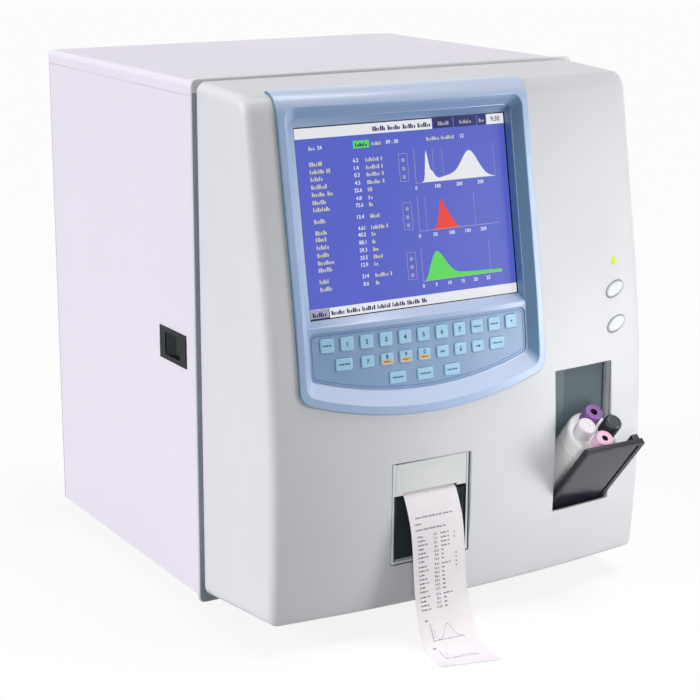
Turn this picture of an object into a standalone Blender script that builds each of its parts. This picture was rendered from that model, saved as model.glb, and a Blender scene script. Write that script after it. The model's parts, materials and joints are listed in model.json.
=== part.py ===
"""Hematology analyzer: a bench instrument with a recessed screen, a key panel, a strip recorder
and a swing-out sample carriage. Lengths are in metres, +Z is up and the front faces -Y.

The sizes are written in the case's own frame: x = 0 in its middle, y = 0 at the seam between the
case and the moulded front, z = 0 at the underside of the case. The assembly empty moves all of
it so that the origin lies under the middle of the whole object, at the soles of the feet."""

from math import atan2, cos, hypot, pi, radians, sin, sqrt, tan

import bmesh
import bpy
from mathutils import Vector

# Case
CASE_WIDTH = 0.400
CASE_DEPTH = 0.316
CASE_HEIGHT = 0.4653
SHEET = 0.0015
FIT = 0.0003
COVER_LIP = 0.013
COVER_CORNER = 0.005
PANEL_FLANGE = 0.012
TRAY_FLANGE = 0.022
SMOOTH_ANGLE = radians(35)
OVERRUN = 0.05

# Feet
FOOT_HEIGHT = 0.012
FOOT_RADIUS = 0.013
FOOT_TAPER = 0.002
FOOT_INSET_X = 0.045
FOOT_INSET_Y = 0.025
FOOT_STUD_RADIUS = 0.004
STUD_CLEARANCE = 0.0003

# Front frame, the flange between the case and the moulding
FRAME_THICKNESS = 0.0035
FRAME_FRONT = -0.0005
FRAME_OVERHANG = 0.002
FRAME_BELOW = 0.0065
FRAME_ABOVE = 0.0022
FRAME_CORNER = 0.006
FRAME_OPENING_MARGIN = 0.022
SPIGOT_LENGTH = 0.0115
SPIGOT_WALL = 0.0024
SPIGOT_CLEARANCE = 0.0006

# Moulded front: a belly arc below, a straight lean above, and a bow from side to side
MOULDING_INSET = 0.002
MOULDING_HALF_WIDTH = CASE_WIDTH / 2 - MOULDING_INSET
MOULDING_REAR = -0.005
WALL = 0.003
BELLY_DEPTH = 0.1455
BELLY_HEIGHT = 0.120
FACE_RADIUS = 1.0
BREAK_HEIGHT = 0.300
BOW_RADIUS = 1.407
TOP_FRONT_HEIGHT = 0.4605
BOTTOM_REAR_HEIGHT = 0.0015
BOTTOM_FRONT_HEIGHT = 0.015
TOP_ROUNDING = 0.018
SIDE_ROUNDING = 0.009
BOTTOM_ROUNDING = 0.006
LEAST_ROUNDING = 0.0004
FACE_STEPS = 10
BOW_STEPS = 14
EDGE_STEPS = 4

# Screen bezel, which wraps over the top edge
BEZEL_CENTRE_SHARE = -0.2462
BEZEL_WIDTH_SHARE = 0.6225
BEZEL_CENTRE_X = MOULDING_HALF_WIDTH * BEZEL_CENTRE_SHARE
BEZEL_HALF_WIDTH = MOULDING_HALF_WIDTH * BEZEL_WIDTH_SHARE
BEZEL_BOTTOM = 0.1895
BEZEL_BOTTOM_RADIUS = 0.370
BEZEL_CORNER = 0.014
BEZEL_PROUD = 0.0025
BEZEL_WRAP_REAR = -0.078
BEZEL_WRAP_CORNER = 0.008
BODY_INSET = 0.007
BODY_TOP = 0.452
POCKET_RIM_INSET = 0.0070
POCKET_TOP = 0.450
POCKET_BOTTOM = 0.1976
POCKET_BOTTOM_RADIUS = 0.362
POCKET_CORNER = 0.010
POCKET_DEPTH = 0.006
POCKET_OVERSHOOT = 0.0016
POCKET_SIDE = 0.01375
FLOOR_HALF_WIDTH = BEZEL_HALF_WIDTH - POCKET_SIDE
FLOOR_TOP = 0.4415
FLOOR_BOTTOM = 0.2086
FLOOR_BOTTOM_RADIUS = 0.355
FLOOR_CORNER = 0.007
WINDOW_BOTTOM = 0.270
WINDOW_LEDGE = 0.0004
WINDOW_EDGE = 0.0005
WINDOW_START = 0.0002
REAR_HOLLOW_FLOOR = 0.003
REAR_HOLLOW_MARGIN = 0.006
SHIELD_BOTTOM_STEPS = 6
SHIELD_CORNER_STEPS = 3

# Screen module, a 10.4 inch panel
SCREEN_WIDTH_SHARE = 1.7135
SCREEN_ASPECT = 0.75
SCREEN_OFFSET_X = 0.00165
SCREEN_WIDTH = BEZEL_HALF_WIDTH * SCREEN_WIDTH_SHARE
SCREEN_HEIGHT = SCREEN_WIDTH * SCREEN_ASPECT
SCREEN_BORDER = 0.002
SCREEN_CENTRE_X = BEZEL_CENTRE_X + SCREEN_OFFSET_X
SCREEN_CENTRE_Z = 0.3548
SCREEN_SETBACK = 0.0165
MODULE_MARGIN = 0.0029
MODULE_THICKNESS = 0.011
BODY_BEHIND_SCREEN = 0.006

# Key panel
PLATE_MARGIN = 0.0017
PLATE_HALF_WIDTH = FLOOR_HALF_WIDTH - PLATE_MARGIN
PLATE_TOP = 0.2655
PLATE_BOTTOM = 0.210
PLATE_BOTTOM_RADIUS = 0.354
PLATE_CORNER = 0.006
PLATE_SINK = 0.0068
PLATE_THICKNESS = 0.0015
KEY_TOP_SINK = 0.0056
KEY_LENGTH = 0.0018
KEY_TRAVEL = 0.0008
KEY_CROWN = 0.0005
KEY_CLEARANCE = 0.00035
KEY_CORNER = 0.0016
KEY_PITCH_SHARE = 0.1709
KEY_SIZE_SHARE = 0.6515
KEY_WIDE_SHARE = 0.8413
KEY_PITCH = PLATE_HALF_WIDTH * KEY_PITCH_SHARE
KEY_COLUMN_X = BEZEL_CENTRE_X
KEY_SIZE = KEY_PITCH * KEY_SIZE_SHARE
KEY_LOW_HEIGHT = 0.0105
KEY_WIDE = KEY_PITCH * KEY_WIDE_SHARE
KEY_ROW_1_Z = 0.2555
KEY_ROW_2_Z = 0.2385
KEY_ROW_3_Z = 0.2217
KEY_ROW_3_SHARE = 1.482
KEY_WIDE_LEFT_SHARE = -4.202
KEY_WIDE_RIGHT_SHARE = 4.126

# Oval push buttons and the lamp above them
BUTTON_SIDES = 20
BUTTON_X_SHARE = 0.8253
LAMP_X_SHARE = 0.8303
BUTTON_X = MOULDING_HALF_WIDTH * BUTTON_X_SHARE
BUTTON_UPPER_Z = 0.2693
BUTTON_LOWER_Z = 0.2374
BUTTON_HALF_LENGTH = 0.0113
BUTTON_HALF_WIDTH = 0.0059
BUTTON_TURN = radians(22)
BUTTON_GAP = 0.0005
BUTTON_PROUD = 0.0012
BUTTON_EDGE = 0.0012
BUTTON_FLANGE = 0.002
BUTTON_FLANGE_THICKNESS = 0.0016
BUTTON_TRAVEL = 0.002
LAMP_TIP_SHARE = 0.4
LAMP_SHOULDER_SHARE = 0.8
LAMP_X = MOULDING_HALF_WIDTH * LAMP_X_SHARE
LAMP_Z = 0.2948
LAMP_RADIUS = 0.0030
LAMP_PROUD = 0.0016
LAMP_FLANGE = 0.0015

# Recorder
RECORDER_X_SHARE = -0.2374
RECORDER_CENTRE_X = MOULDING_HALF_WIDTH * RECORDER_X_SHARE
RECORDER_HALF_WIDTH = 0.0403
RECORDER_BOTTOM = 0.0547
RECORDER_TOP = 0.1473
RECORDER_CORNER = 0.0015
RECORDER_GAP = 0.0004
RECORDER_FACE_Y = -0.143
RECORDER_REAR_Y = -0.062
RECORDER_LEDGE = 0.0031
RECORDER_WALL = 0.0025
RECORDER_PANEL_SETBACK = 0.0045
RECORDER_PANEL_THICKNESS = 0.0015
RECORDER_PANEL_TOP = 0.1135
FLAP_BOTTOM = 0.118
FLAP_THICKNESS = 0.002
FLAP_AXIS_SETBACK = 0.0014
FLAP_AXIS_Z = 0.1452
FLAP_BARREL_RADIUS = 0.0011
FLAP_PIN_RADIUS = 0.0007
FLAP_PIN_LENGTH = 0.0016
FLAP_HEADROOM = 0.0010
FLAP_NOTCH_HALF_WIDTH = 0.0283
FLAP_NOTCH_DEPTH = 0.002
FLAP_RIB_HEIGHT = 0.004
PIN_CLEARANCE = 0.0003
PLATEN_RADIUS = 0.005
PLATEN_LEAD = radians(45)
PLATEN_Y = -0.132
PLATEN_Z = 0.1155
PLATEN_SHAFT_RADIUS = 0.002
BEARING_DEPTH = 0.0018
ROLL_RADIUS = 0.0125
ROLL_HALF_WIDTH = 0.0285
ROLL_Y = -0.112
ROLL_Z = 0.100
SPINDLE_RADIUS = 0.003

# Paper strip, its route given as shares of its reach and of its fall from the slot
PAPER_WIDTH = 0.054
PAPER_THICKNESS = 0.0004
PAPER_OFFSET_X = -0.0013
PAPER_CENTRE_X = RECORDER_CENTRE_X + PAPER_OFFSET_X
PAPER_SLOT_Y = -0.1415
PAPER_SLOT_Z = 0.1172
PAPER_REACH = 0.0814
PAPER_LIFT = 0.0004
PAPER_CLEARANCE = 0.0009
PAPER_TURN = radians(-14.2)
PAPER_DRIFT = -0.0092
PAPER_TURN_START_SHARE = 0.55
PAPER_ROUTE_SHARES = (
    (0.0, 0.0),
    (0.043, 0.036),
    (0.111, 0.126),
    (0.166, 0.227),
    (0.203, 0.367),
    (0.221, 0.483),
    (0.246, 0.615),
    (0.289, 0.740),
    (0.362, 0.848),
    (0.473, 0.940),
    (0.596, 0.988),
    (0.735, 1.0),
    (1.0, 1.0),
)
PAPER_STEPS = 2

# Sample opening and the liner behind it
OPENING_X_SHARE = 0.6149
OPENING_CENTRE_X = MOULDING_HALF_WIDTH * OPENING_X_SHARE
OPENING_HALF_WIDTH = 0.03405
OPENING_BOTTOM = 0.0725
OPENING_TOP = 0.2045
RETURN_WALL = 0.0025
RETURN_REAR = -0.1247
LINER_HALF_WIDTH = 0.037
LINER_WALL = 0.002
LINER_FLOOR = 0.028
LINER_ROOF_GAP = 0.003
LINER_FRONT = -0.126
LINER_REAR = -0.060

# Sample carriage, drawn shut and turned about its pivot
PIVOT_Y = -0.073
PIVOT_Z = 0.095
DOOR_OPEN_ANGLE = radians(39.5)
DOOR_FRONT = -0.1321
DOOR_THICKNESS = 0.005
DOOR_BOTTOM = 0.0705
DOOR_TOP = 0.2033
DOOR_HALF_WIDTH = 0.0332
DOOR_SIDE_BAR = 0.007
DOOR_END_BAR = 0.006
DOOR_CORNER = 0.0015
PANE_LAP = 0.0018
PANE_SETBACK = 0.001
PANE_THICKNESS = 0.0018
ARM_THICKNESS = 0.0025
ARM_BOTTOM = 0.072
ARM_TOP = 0.113
PIVOT_BOSS_RADIUS = 0.008
PIVOT_PIN_RADIUS = 0.003
PIVOT_PIN_END_GAP = 0.0005
BASE_PLATE_BOTTOM = 0.100
BASE_PLATE_THICKNESS = 0.0037
BASE_PLATE_FRONT = -0.128
BASE_PLATE_REAR = -0.075
LATCH_WIDTH = 0.007
LATCH_DEPTH = 0.006
LATCH_HEIGHT = 0.009
LATCH_INSET = 0.0022

# Tube adapter and its four tubes
ADAPTER_Y = -0.1032
ADAPTER_RADIUS = 0.0245
ADAPTER_TOP = 0.186
ADAPTER_SHOULDER = 0.004
ADAPTER_SPIGOT_RADIUS = 0.004
TUBE_CIRCLE_RADIUS = 0.0138
TUBE_CIRCLE_TURN = radians(-5)
TUBE_RADIUS = 0.0065
TUBE_BORE_DEPTH = 0.070
CAP_RADIUS = 0.0085
CAP_CHAMFER = 0.0012
PURPLE_TOP = 0.200
BLACK_TOP = 0.203
PINK_TOP = 0.198
WHITE_TOP = 0.200
PURPLE_WELL_RADIUS = 0.0042
PURPLE_WELL_DEPTH = 0.078
STOPPER_WELL_RADIUS = 0.0034
STOPPER_WELL_DEPTH = 0.006

# Sample probe and the guide that it slides in
PROBE_RADIUS = 0.001
PROBE_TIP = 0.216
PROBE_BLOCK_BOTTOM = 0.300
PROBE_BLOCK_HEIGHT = 0.016
PROBE_BLOCK_WIDTH = 0.012
PROBE_BLOCK_DEPTH = 0.014
PROBE_HOLE_RADIUS = 0.004
GUIDE_HALF_WIDTH = 0.012
GUIDE_THICKNESS = 0.0025
GUIDE_TOP = 0.385
GUIDE_LIP_WIDTH = 0.002
GUIDE_LIP_DEPTH = 0.009

# Power switch in the left panel
SWITCH_Y = 0.0468
SWITCH_Z = 0.2241
SWITCH_HALF_LENGTH = 0.0267
SWITCH_HALF_HEIGHT = 0.0153
SWITCH_PROUD = 0.0012
SWITCH_BEVEL = 0.0008
SWITCH_BODY_INSET = 0.0018
SWITCH_BODY_DEPTH = 0.012
SWITCH_FLOOR = 0.002
ROCKER_RADIUS = 0.0144
ROCKER_GAP = 0.0004
ROCKER_HALF_HEIGHT = 0.010
ROCKER_AXIS_DEPTH = 0.0045
ROCKER_END_ANGLE = radians(14.3)
ROCKER_HEEL_ANGLE = radians(-12)
ROCKER_HOLLOW = 0.0018
ROCKER_PIN_RADIUS = 0.0015
ROCKER_PIN_LENGTH = 0.0025
ROCKER_TILT = radians(7)
ROCKER_STEPS = 3

# Rear: fan, ports and inlet
FAN_X_SHARE = -0.26
FAN_X = CASE_WIDTH * FAN_X_SHARE
FAN_Z = 0.250
FAN_BORE_RADIUS = 0.041
FAN_SHROUD_WALL = 0.002
FAN_SHROUD_FRONT = 0.286
FAN_SPIDER_THICKNESS = 0.003
FAN_SPIDER_BAR = 0.006
FAN_DISC_RADIUS = 0.015
FAN_PIN_RADIUS = 0.0025
FAN_PIN_LENGTH = 0.014
FAN_HUB_RADIUS = 0.0145
FAN_HUB_LENGTH = 0.018
FAN_TIP_SHARE = 0.96
FAN_TIP_GAP = 0.0012
FAN_BLADES = 7
FAN_BLADE_THICKNESS = 0.0014
FAN_ROOT_PITCH = radians(48)
FAN_TIP_PITCH = radians(30)
FAN_BLADE_ROOT_CHORD = 0.012
FAN_BLADE_TIP_CHORD = 0.020
GRILLE_SLOTS = 9
GRILLE_SLOT_HEIGHT = 0.0045
ELECTRONICS_MARGIN = 0.013
ELECTRONICS_RIGHT_SHARE = -0.05
ELECTRONICS_LEFT = ELECTRONICS_MARGIN - CASE_WIDTH / 2
ELECTRONICS_RIGHT = CASE_WIDTH * ELECTRONICS_RIGHT_SHARE
ELECTRONICS_FRONT = 0.196
ELECTRONICS_REAR = 0.3124
ELECTRONICS_TOP = 0.330
ELECTRONICS_WALL = 0.002
PORT_X_SHARE = -0.15
PORT_X = CASE_WIDTH * PORT_X_SHARE
PORT_LOWER_Z = 0.090
PORT_UPPER_Z = 0.130
PORT_HALF_WIDTH = 0.0155
PORT_HALF_HEIGHT = 0.0055
PORT_CUT = 0.003
PORT_PROUD = 0.003
INLET_X_SHARE = 0.015
INLET_X = CASE_WIDTH * INLET_X_SHARE
INLET_Z = 0.060
INLET_FLANGE_HALF_WIDTH = 0.024
INLET_FLANGE_HALF_HEIGHT = 0.012
INLET_FLANGE_THICKNESS = 0.002
INLET_BODY_HALF_WIDTH = 0.0142
INLET_BODY_HALF_HEIGHT = 0.0104
INLET_BODY_DEPTH = 0.020
INLET_CAVITY_HALF_WIDTH = 0.01225
INLET_CAVITY_HALF_HEIGHT = 0.0085
INLET_CAVITY_DEPTH = 0.015
INLET_CAVITY_CUT = 0.004
INLET_PIN_WIDTH = 0.002
INLET_PIN_HEIGHT = 0.004
INLET_PIN_SPREAD = 0.007
INLET_PIN_Z = -0.0015
INLET_EARTH_Z = 0.0039
INLET_PIN_SETBACK = 0.002

# Fluidics module
FLUIDICS_LEFT_SHARE = 0.0875
FLUIDICS_MARGIN = 0.015
FLUIDICS_LEFT = CASE_WIDTH * FLUIDICS_LEFT_SHARE
FLUIDICS_RIGHT = CASE_WIDTH / 2 - FLUIDICS_MARGIN
FLUIDICS_PLATE_Y = 0.250
FLUIDICS_PLATE_THICKNESS = 0.003
FLUIDICS_TOP = 0.400
FLUIDICS_FOOT_DEPTH = 0.035
SYRINGE_LARGE_RADIUS = 0.013
SYRINGE_LARGE_SHARE = 0.175
SYRINGE_LARGE_X = CASE_WIDTH * SYRINGE_LARGE_SHARE
SYRINGE_SMALL_RADIUS = 0.009
SYRINGE_SMALL_SHARE = 0.28
SYRINGE_SMALL_X = CASE_WIDTH * SYRINGE_SMALL_SHARE
SYRINGE_BOTTOM = 0.150
SYRINGE_TOP = 0.330
SYRINGE_LAP = 0.001
PUMP_RADIUS = 0.020
PUMP_X_SHARE = 0.375
PUMP_X = CASE_WIDTH * PUMP_X_SHARE
PUMP_Z = 0.300
PUMP_LENGTH = 0.046
VALVES = 5
VALVE_WIDTH = 0.016
VALVE_DEPTH = 0.023
VALVE_HEIGHT = 0.024
VALVE_BOTTOM = 0.070
VALVE_PITCH = 0.026
MANIFOLD_LEFT_SHARE = 0.155
MANIFOLD_RIGHT_SHARE = 0.395
MANIFOLD_LEFT = CASE_WIDTH * MANIFOLD_LEFT_SHARE
MANIFOLD_RIGHT = CASE_WIDTH * MANIFOLD_RIGHT_SHARE
MANIFOLD_BOTTOM = 0.190
MANIFOLD_TOP = 0.215
NIPPLES = 4
NIPPLE_PITCH = 0.022
NIPPLE_RADIUS = 0.004
BARB_START_SHARE = 0.7
BARB_TIP_SHARE = 0.8
NIPPLE_BARB = 0.0006
NIPPLE_LENGTH = 0.0186
NIPPLE_HOLE_CLEARANCE = 0.0004
NIPPLE_BORE = 0.002

X = Vector((1, 0, 0))
Y = Vector((0, 1, 0))
Z = Vector((0, 0, 1))
HALF_WIDTH = CASE_WIDTH / 2
SEAM = FRAME_FRONT + FRAME_THICKNESS + FIT
PANEL_TOP = CASE_HEIGHT - COVER_LIP
REAR_INNER = CASE_DEPTH - SHEET - FIT
FACE_TILT = (BREAK_HEIGHT - BELLY_HEIGHT) / FACE_RADIUS
DEPTH_AT_BREAK = BELLY_DEPTH - (BREAK_HEIGHT - BELLY_HEIGHT) ** 2 / (2 * FACE_RADIUS)
FACE_FRONT = -(BELLY_DEPTH + OVERRUN)


# Scene and materials
def clear_scene():
    for item in list(bpy.data.objects):
        bpy.data.objects.remove(item, do_unlink=True)


def finish(name, colour, roughness, metallic=0.0, alpha=1.0):
    """One Principled material."""
    made = bpy.data.materials.new(name)
    made.use_nodes = True
    shader = made.node_tree.nodes["Principled BSDF"]
    shader.inputs["Base Color"].default_value = (*colour, 1)
    shader.inputs["Roughness"].default_value = roughness
    shader.inputs["Metallic"].default_value = metallic
    shader.inputs["Alpha"].default_value = alpha
    made.diffuse_color = (*colour, alpha)
    return made


# Mesh helpers
def loft(mesh, rings):
    """Skins rings that have the same number of points, and closes both ends."""
    loops = [[mesh.verts.new(point) for point in ring] for ring in rings]
    count = len(loops[0])
    for near, far in zip(loops, loops[1:]):
        for i in range(count):
            j = (i + 1) % count
            mesh.faces.new((near[i], near[j], far[j], far[i]))
    mesh.faces.new(list(reversed(loops[0])))
    mesh.faces.new(loops[-1])


def axes_at(origin, across, up, out):
    """Maps (a, b, height) onto a place with its own three directions."""
    start = Vector(origin)
    return lambda a, b, height: start + across * a + up * b + out * height


def stack(mesh, place, layers):
    """Lofts flat outlines that each have a height."""
    loft(mesh, [[place(a, b, height) for a, b in outline] for outline, height in layers])


def box(mesh, low, high):
    corners = rectangle(low[0], high[0], low[1], high[1])
    stack(mesh, axes_at((0, 0, 0), X, Y, Z), [(corners, low[2]), (corners, high[2])])


def rectangle(left, right, bottom, top):
    return [(left, bottom), (right, bottom), (right, top), (left, top)]


def oval(half_length, half_width, sides, turn=0.0):
    points = []
    for k in range(sides):
        angle = 2 * pi * k / sides
        a, b = half_length * cos(angle), half_width * sin(angle)
        points.append((a * cos(turn) - b * sin(turn), a * sin(turn) + b * cos(turn)))
    return points


def circle(radius, sides):
    return oval(radius, radius, sides)


def cut_corners(left, right, bottom, top, cut):
    """A rectangle whose corners are cut at 45 degrees."""
    return [
        (left + cut, bottom),
        (right - cut, bottom),
        (right, bottom + cut),
        (right, top - cut),
        (right - cut, top),
        (left + cut, top),
        (left, top - cut),
        (left, bottom + cut),
    ]


def round_rectangle(left, right, bottom, top, radius, steps=3):
    points = []
    corners = (
        (right - radius, bottom + radius, -pi / 2),
        (right - radius, top - radius, 0),
        (left + radius, top - radius, pi / 2),
        (left + radius, bottom + radius, pi),
    )
    for a, b, start in corners:
        for k in range(steps + 1):
            angle = start + pi / 2 * k / steps
            points.append((a + radius * cos(angle), b + radius * sin(angle)))
    return points


def fillet(before, corner, after, radius, steps):
    """The arc that rounds a corner between two straight edges."""
    back, ahead = (before - corner).normalized(), (after - corner).normalized()
    half = back.angle(ahead) / 2
    centre = corner + (back + ahead).normalized() * (radius / sin(half))
    start = corner + back * (radius / tan(half)) - centre
    end = corner + ahead * (radius / tan(half)) - centre
    first = atan2(start.y, start.x)
    sweep = (atan2(end.y, end.x) - first + pi) % (2 * pi) - pi
    arc = []
    for k in range(steps + 1):
        angle = first + sweep * k / steps
        arc.append(centre + Vector((radius * cos(angle), radius * sin(angle))))
    return arc


# Objects
def make(name, mesh, material, pivot=(0, 0, 0), parent=None):
    """An object whose origin is its pivot, from a mesh drawn in the parent's frame."""
    bmesh.ops.recalc_face_normals(mesh, faces=mesh.faces)
    bmesh.ops.triangulate(mesh, faces=mesh.faces)
    bmesh.ops.translate(mesh, verts=mesh.verts, vec=-Vector(pivot))
    data = bpy.data.meshes.new(name)
    mesh.to_mesh(data)
    mesh.free()
    made = bpy.data.objects.new(name, data)
    bpy.context.scene.collection.objects.link(made)
    made.parent = parent or bpy.data.objects["assembly"]
    made.location = pivot
    if material:
        data.materials.append(material)
    data.shade_smooth()
    data.set_sharp_from_angle(angle=SMOOTH_ANGLE)
    return made


def guide(name, mesh, pivot=(0, 0, 0), parent=None):
    """A hidden body that other bodies are cut by or joined with."""
    made = make(name, mesh, None, pivot, parent)
    made.hide_render = True
    made.display_type = "WIRE"
    return made


def combine(target, operand, operation="DIFFERENCE"):
    modifier = target.modifiers.new(operand.name, "BOOLEAN")
    modifier.object = operand
    modifier.operation = operation
    return target


# The front's surface
def face_depth(z):
    """How far the middle of the face stands forward of the seam at a height."""
    if z < BREAK_HEIGHT:
        return BELLY_DEPTH - (z - BELLY_HEIGHT) ** 2 / (2 * FACE_RADIUS)
    return DEPTH_AT_BREAK - FACE_TILT * (z - BREAK_HEIGHT)


def face_slope(z):
    return (min(z, BREAK_HEIGHT) - BELLY_HEIGHT) / FACE_RADIUS


def bow(x):
    return x**2 / (2 * BOW_RADIUS)


def face_y(x, z, sink=0.0):
    return sink - face_depth(z) + bow(x)


def screen_y(z, sink=0.0):
    """The flat, leaning plane of the screen."""
    return sink + SCREEN_SETBACK - DEPTH_AT_BREAK + FACE_TILT * (z - BREAK_HEIGHT)


def face_place(x, z):
    """Maps (across, up, out) onto the face around a point, square to it."""
    out = Vector((x / BOW_RADIUS, -1, face_slope(z))).normalized()
    across = (X - out * X.dot(out)).normalized()
    return axes_at((x, face_y(x, z), z), across, out.cross(across), out)


def top_line(y, sink):
    return CASE_HEIGHT + y * (CASE_HEIGHT - TOP_FRONT_HEIGHT) / face_depth(TOP_FRONT_HEIGHT) - sink


def bottom_line(y, sink):
    rise = (BOTTOM_FRONT_HEIGHT - BOTTOM_REAR_HEIGHT) / face_depth(BOTTOM_FRONT_HEIGHT)
    return BOTTOM_REAR_HEIGHT - y * rise + sink


def side_profile(sink, rear):
    """Outline of the moulding in (y, z), with the share of the bow that each point takes."""
    low, high = Vector((0, BOTTOM_FRONT_HEIGHT)), Vector((0, TOP_FRONT_HEIGHT))
    for _ in range(FACE_STEPS):
        low.x = sink - face_depth(low.y)
        low.y = bottom_line(low.x, sink)
        high.x = sink - face_depth(high.y)
        high.y = top_line(high.x, sink)
    rear_low = Vector((rear, bottom_line(rear, sink)))
    rear_high = Vector((rear, top_line(rear, sink)))
    bottom_radius = max(BOTTOM_ROUNDING - sink, LEAST_ROUNDING)
    top_radius = max(TOP_ROUNDING - sink, LEAST_ROUNDING)
    above_low = low + Vector((face_slope(low.y), 1))
    below_high = high - Vector((face_slope(high.y), 1))
    bottom = [rear_low, *fillet(rear_low, low, above_low, bottom_radius, EDGE_STEPS - 1)]
    top = [*fillet(below_high, high, rear_high, top_radius, EDGE_STEPS + 1), rear_high]
    first = BOTTOM_FRONT_HEIGHT + BOTTOM_ROUNDING + SIDE_ROUNDING
    face = []
    for k in range(FACE_STEPS + 1):
        z = first + (BREAK_HEIGHT - first) * k / FACE_STEPS
        face.append(Vector((sink - face_depth(z), z)))
    points = [(p.x, p.y, min(1, max(0, p.x / low.x))) for p in bottom]
    points += [(p.x, p.y, 1) for p in face]
    points += [(p.x, p.y, min(1, max(0, p.x / high.x))) for p in top]
    return points


def block(mesh, sink, rear):
    """The moulding's solid form, shrunk by a distance on every side but the rear."""
    edge = max(SIDE_ROUNDING - sink, LEAST_ROUNDING)
    inner = MOULDING_HALF_WIDTH - sink - edge
    turns = [pi / 2 * k / EDGE_STEPS for k in range(1, EDGE_STEPS + 1)]
    rounding = [(inner + edge * sin(turn), edge * (1 - cos(turn))) for turn in turns]
    stations = [(-x, shrink) for x, shrink in reversed(rounding)]
    stations += [(inner * (2 * k / BOW_STEPS - 1), 0) for k in range(BOW_STEPS + 1)]
    stations += rounding
    rings = []
    for x, shrink in stations:
        profile = side_profile(sink + shrink, rear)
        rings.append([(x, y + share * bow(x), z) for y, z, share in profile])
    loft(mesh, rings)


def shield(half_width, top, bottom, bottom_radius, top_corner, bottom_corner):
    """Outline in (x, z) with upright sides and a bottom edge that is one wide arc."""
    heart = bottom + bottom_radius
    inner = half_width - bottom_corner
    level = heart - sqrt((bottom_radius - bottom_corner) ** 2 - inner**2)
    turn = atan2(level - heart, inner)
    right = []
    for k in range(SHIELD_BOTTOM_STEPS + 1):
        angle = -pi / 2 + (turn + pi / 2) * k / SHIELD_BOTTOM_STEPS
        right.append((bottom_radius * cos(angle), heart + bottom_radius * sin(angle)))
    for k in range(1, SHIELD_CORNER_STEPS + 1):
        angle = turn * (1 - k / SHIELD_CORNER_STEPS)
        right.append((inner + bottom_corner * cos(angle), level + bottom_corner * sin(angle)))
    for k in range(SHIELD_CORNER_STEPS + 1):
        angle = pi / 2 * k / SHIELD_CORNER_STEPS
        a = half_width - top_corner + top_corner * cos(angle)
        right.append((a, top - top_corner + top_corner * sin(angle)))
    left = [(-a, b) for a, b in reversed(right[1:])]
    return [(BEZEL_CENTRE_X + a, b) for a, b in right + left]


def through_face(mesh, outline, front, rear):
    """A prism along Y from an outline in (x, z)."""
    loft(mesh, [[(x, y, z) for x, z in outline] for y in (front, rear)])


# Case
def add_case():
    shell_finish = finish("sheet_metal_paint", (0.80, 0.78, 0.80), 0.45)
    plane = axes_at((0, 0, 0), X, Z, Y)
    left, inner, top = -HALF_WIDTH, HALF_WIDTH - SHEET, CASE_HEIGHT - SHEET
    lip = PANEL_TOP + FIT
    outer = round_rectangle(left, HALF_WIDTH, lip, CASE_HEIGHT, COVER_CORNER)
    hollow = round_rectangle(-inner, inner, lip - COVER_LIP, top, COVER_CORNER - SHEET)
    square_foot = rectangle(left, HALF_WIDTH, lip, lip + COVER_CORNER)
    cover = bmesh.new()
    stack(cover, plane, [(outer, SEAM), (outer, REAR_INNER)])
    skirt = bmesh.new()
    stack(skirt, plane, [(square_foot, SEAM), (square_foot, REAR_INNER)])
    inside = bmesh.new()
    stack(inside, plane, [(hollow, SEAM - OVERRUN), (hollow, REAR_INNER + OVERRUN)])
    top_cover = make("top_cover", cover, shell_finish)
    combine(top_cover, guide("cover_skirt", skirt), "UNION")
    combine(top_cover, guide("cover_hollow", inside))

    for name, side in (("left_panel", -1), ("right_panel", 1)):
        sheet = bmesh.new()
        web = PANEL_TOP - SHEET
        profile = [
            (side * HALF_WIDTH, 0),
            (side * HALF_WIDTH, PANEL_TOP),
            (side * (inner - PANEL_FLANGE), PANEL_TOP),
            (side * (inner - PANEL_FLANGE), web),
            (side * inner, web),
            (side * inner, 0),
        ]
        stack(sheet, plane, [(profile, SEAM), (profile, REAR_INNER)])
        make(name, sheet, shell_finish)

    hole = bmesh.new()
    reach = SWITCH_BODY_INSET - FIT
    box(
        hole,
        (left - OVERRUN, SWITCH_Y - SWITCH_HALF_LENGTH + reach, SWITCH_Z - SWITCH_HALF_HEIGHT + reach),
        (left + OVERRUN, SWITCH_Y + SWITCH_HALF_LENGTH - reach, SWITCH_Z + SWITCH_HALF_HEIGHT - reach),
    )
    combine(bpy.data.objects["left_panel"], guide("switch_cut_out", hole))


def foot_places():
    x = HALF_WIDTH - FOOT_INSET_X
    return [(sx * x, y) for y in (FOOT_INSET_Y, CASE_DEPTH - FOOT_INSET_Y) for sx in (-1, 1)]


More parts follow.
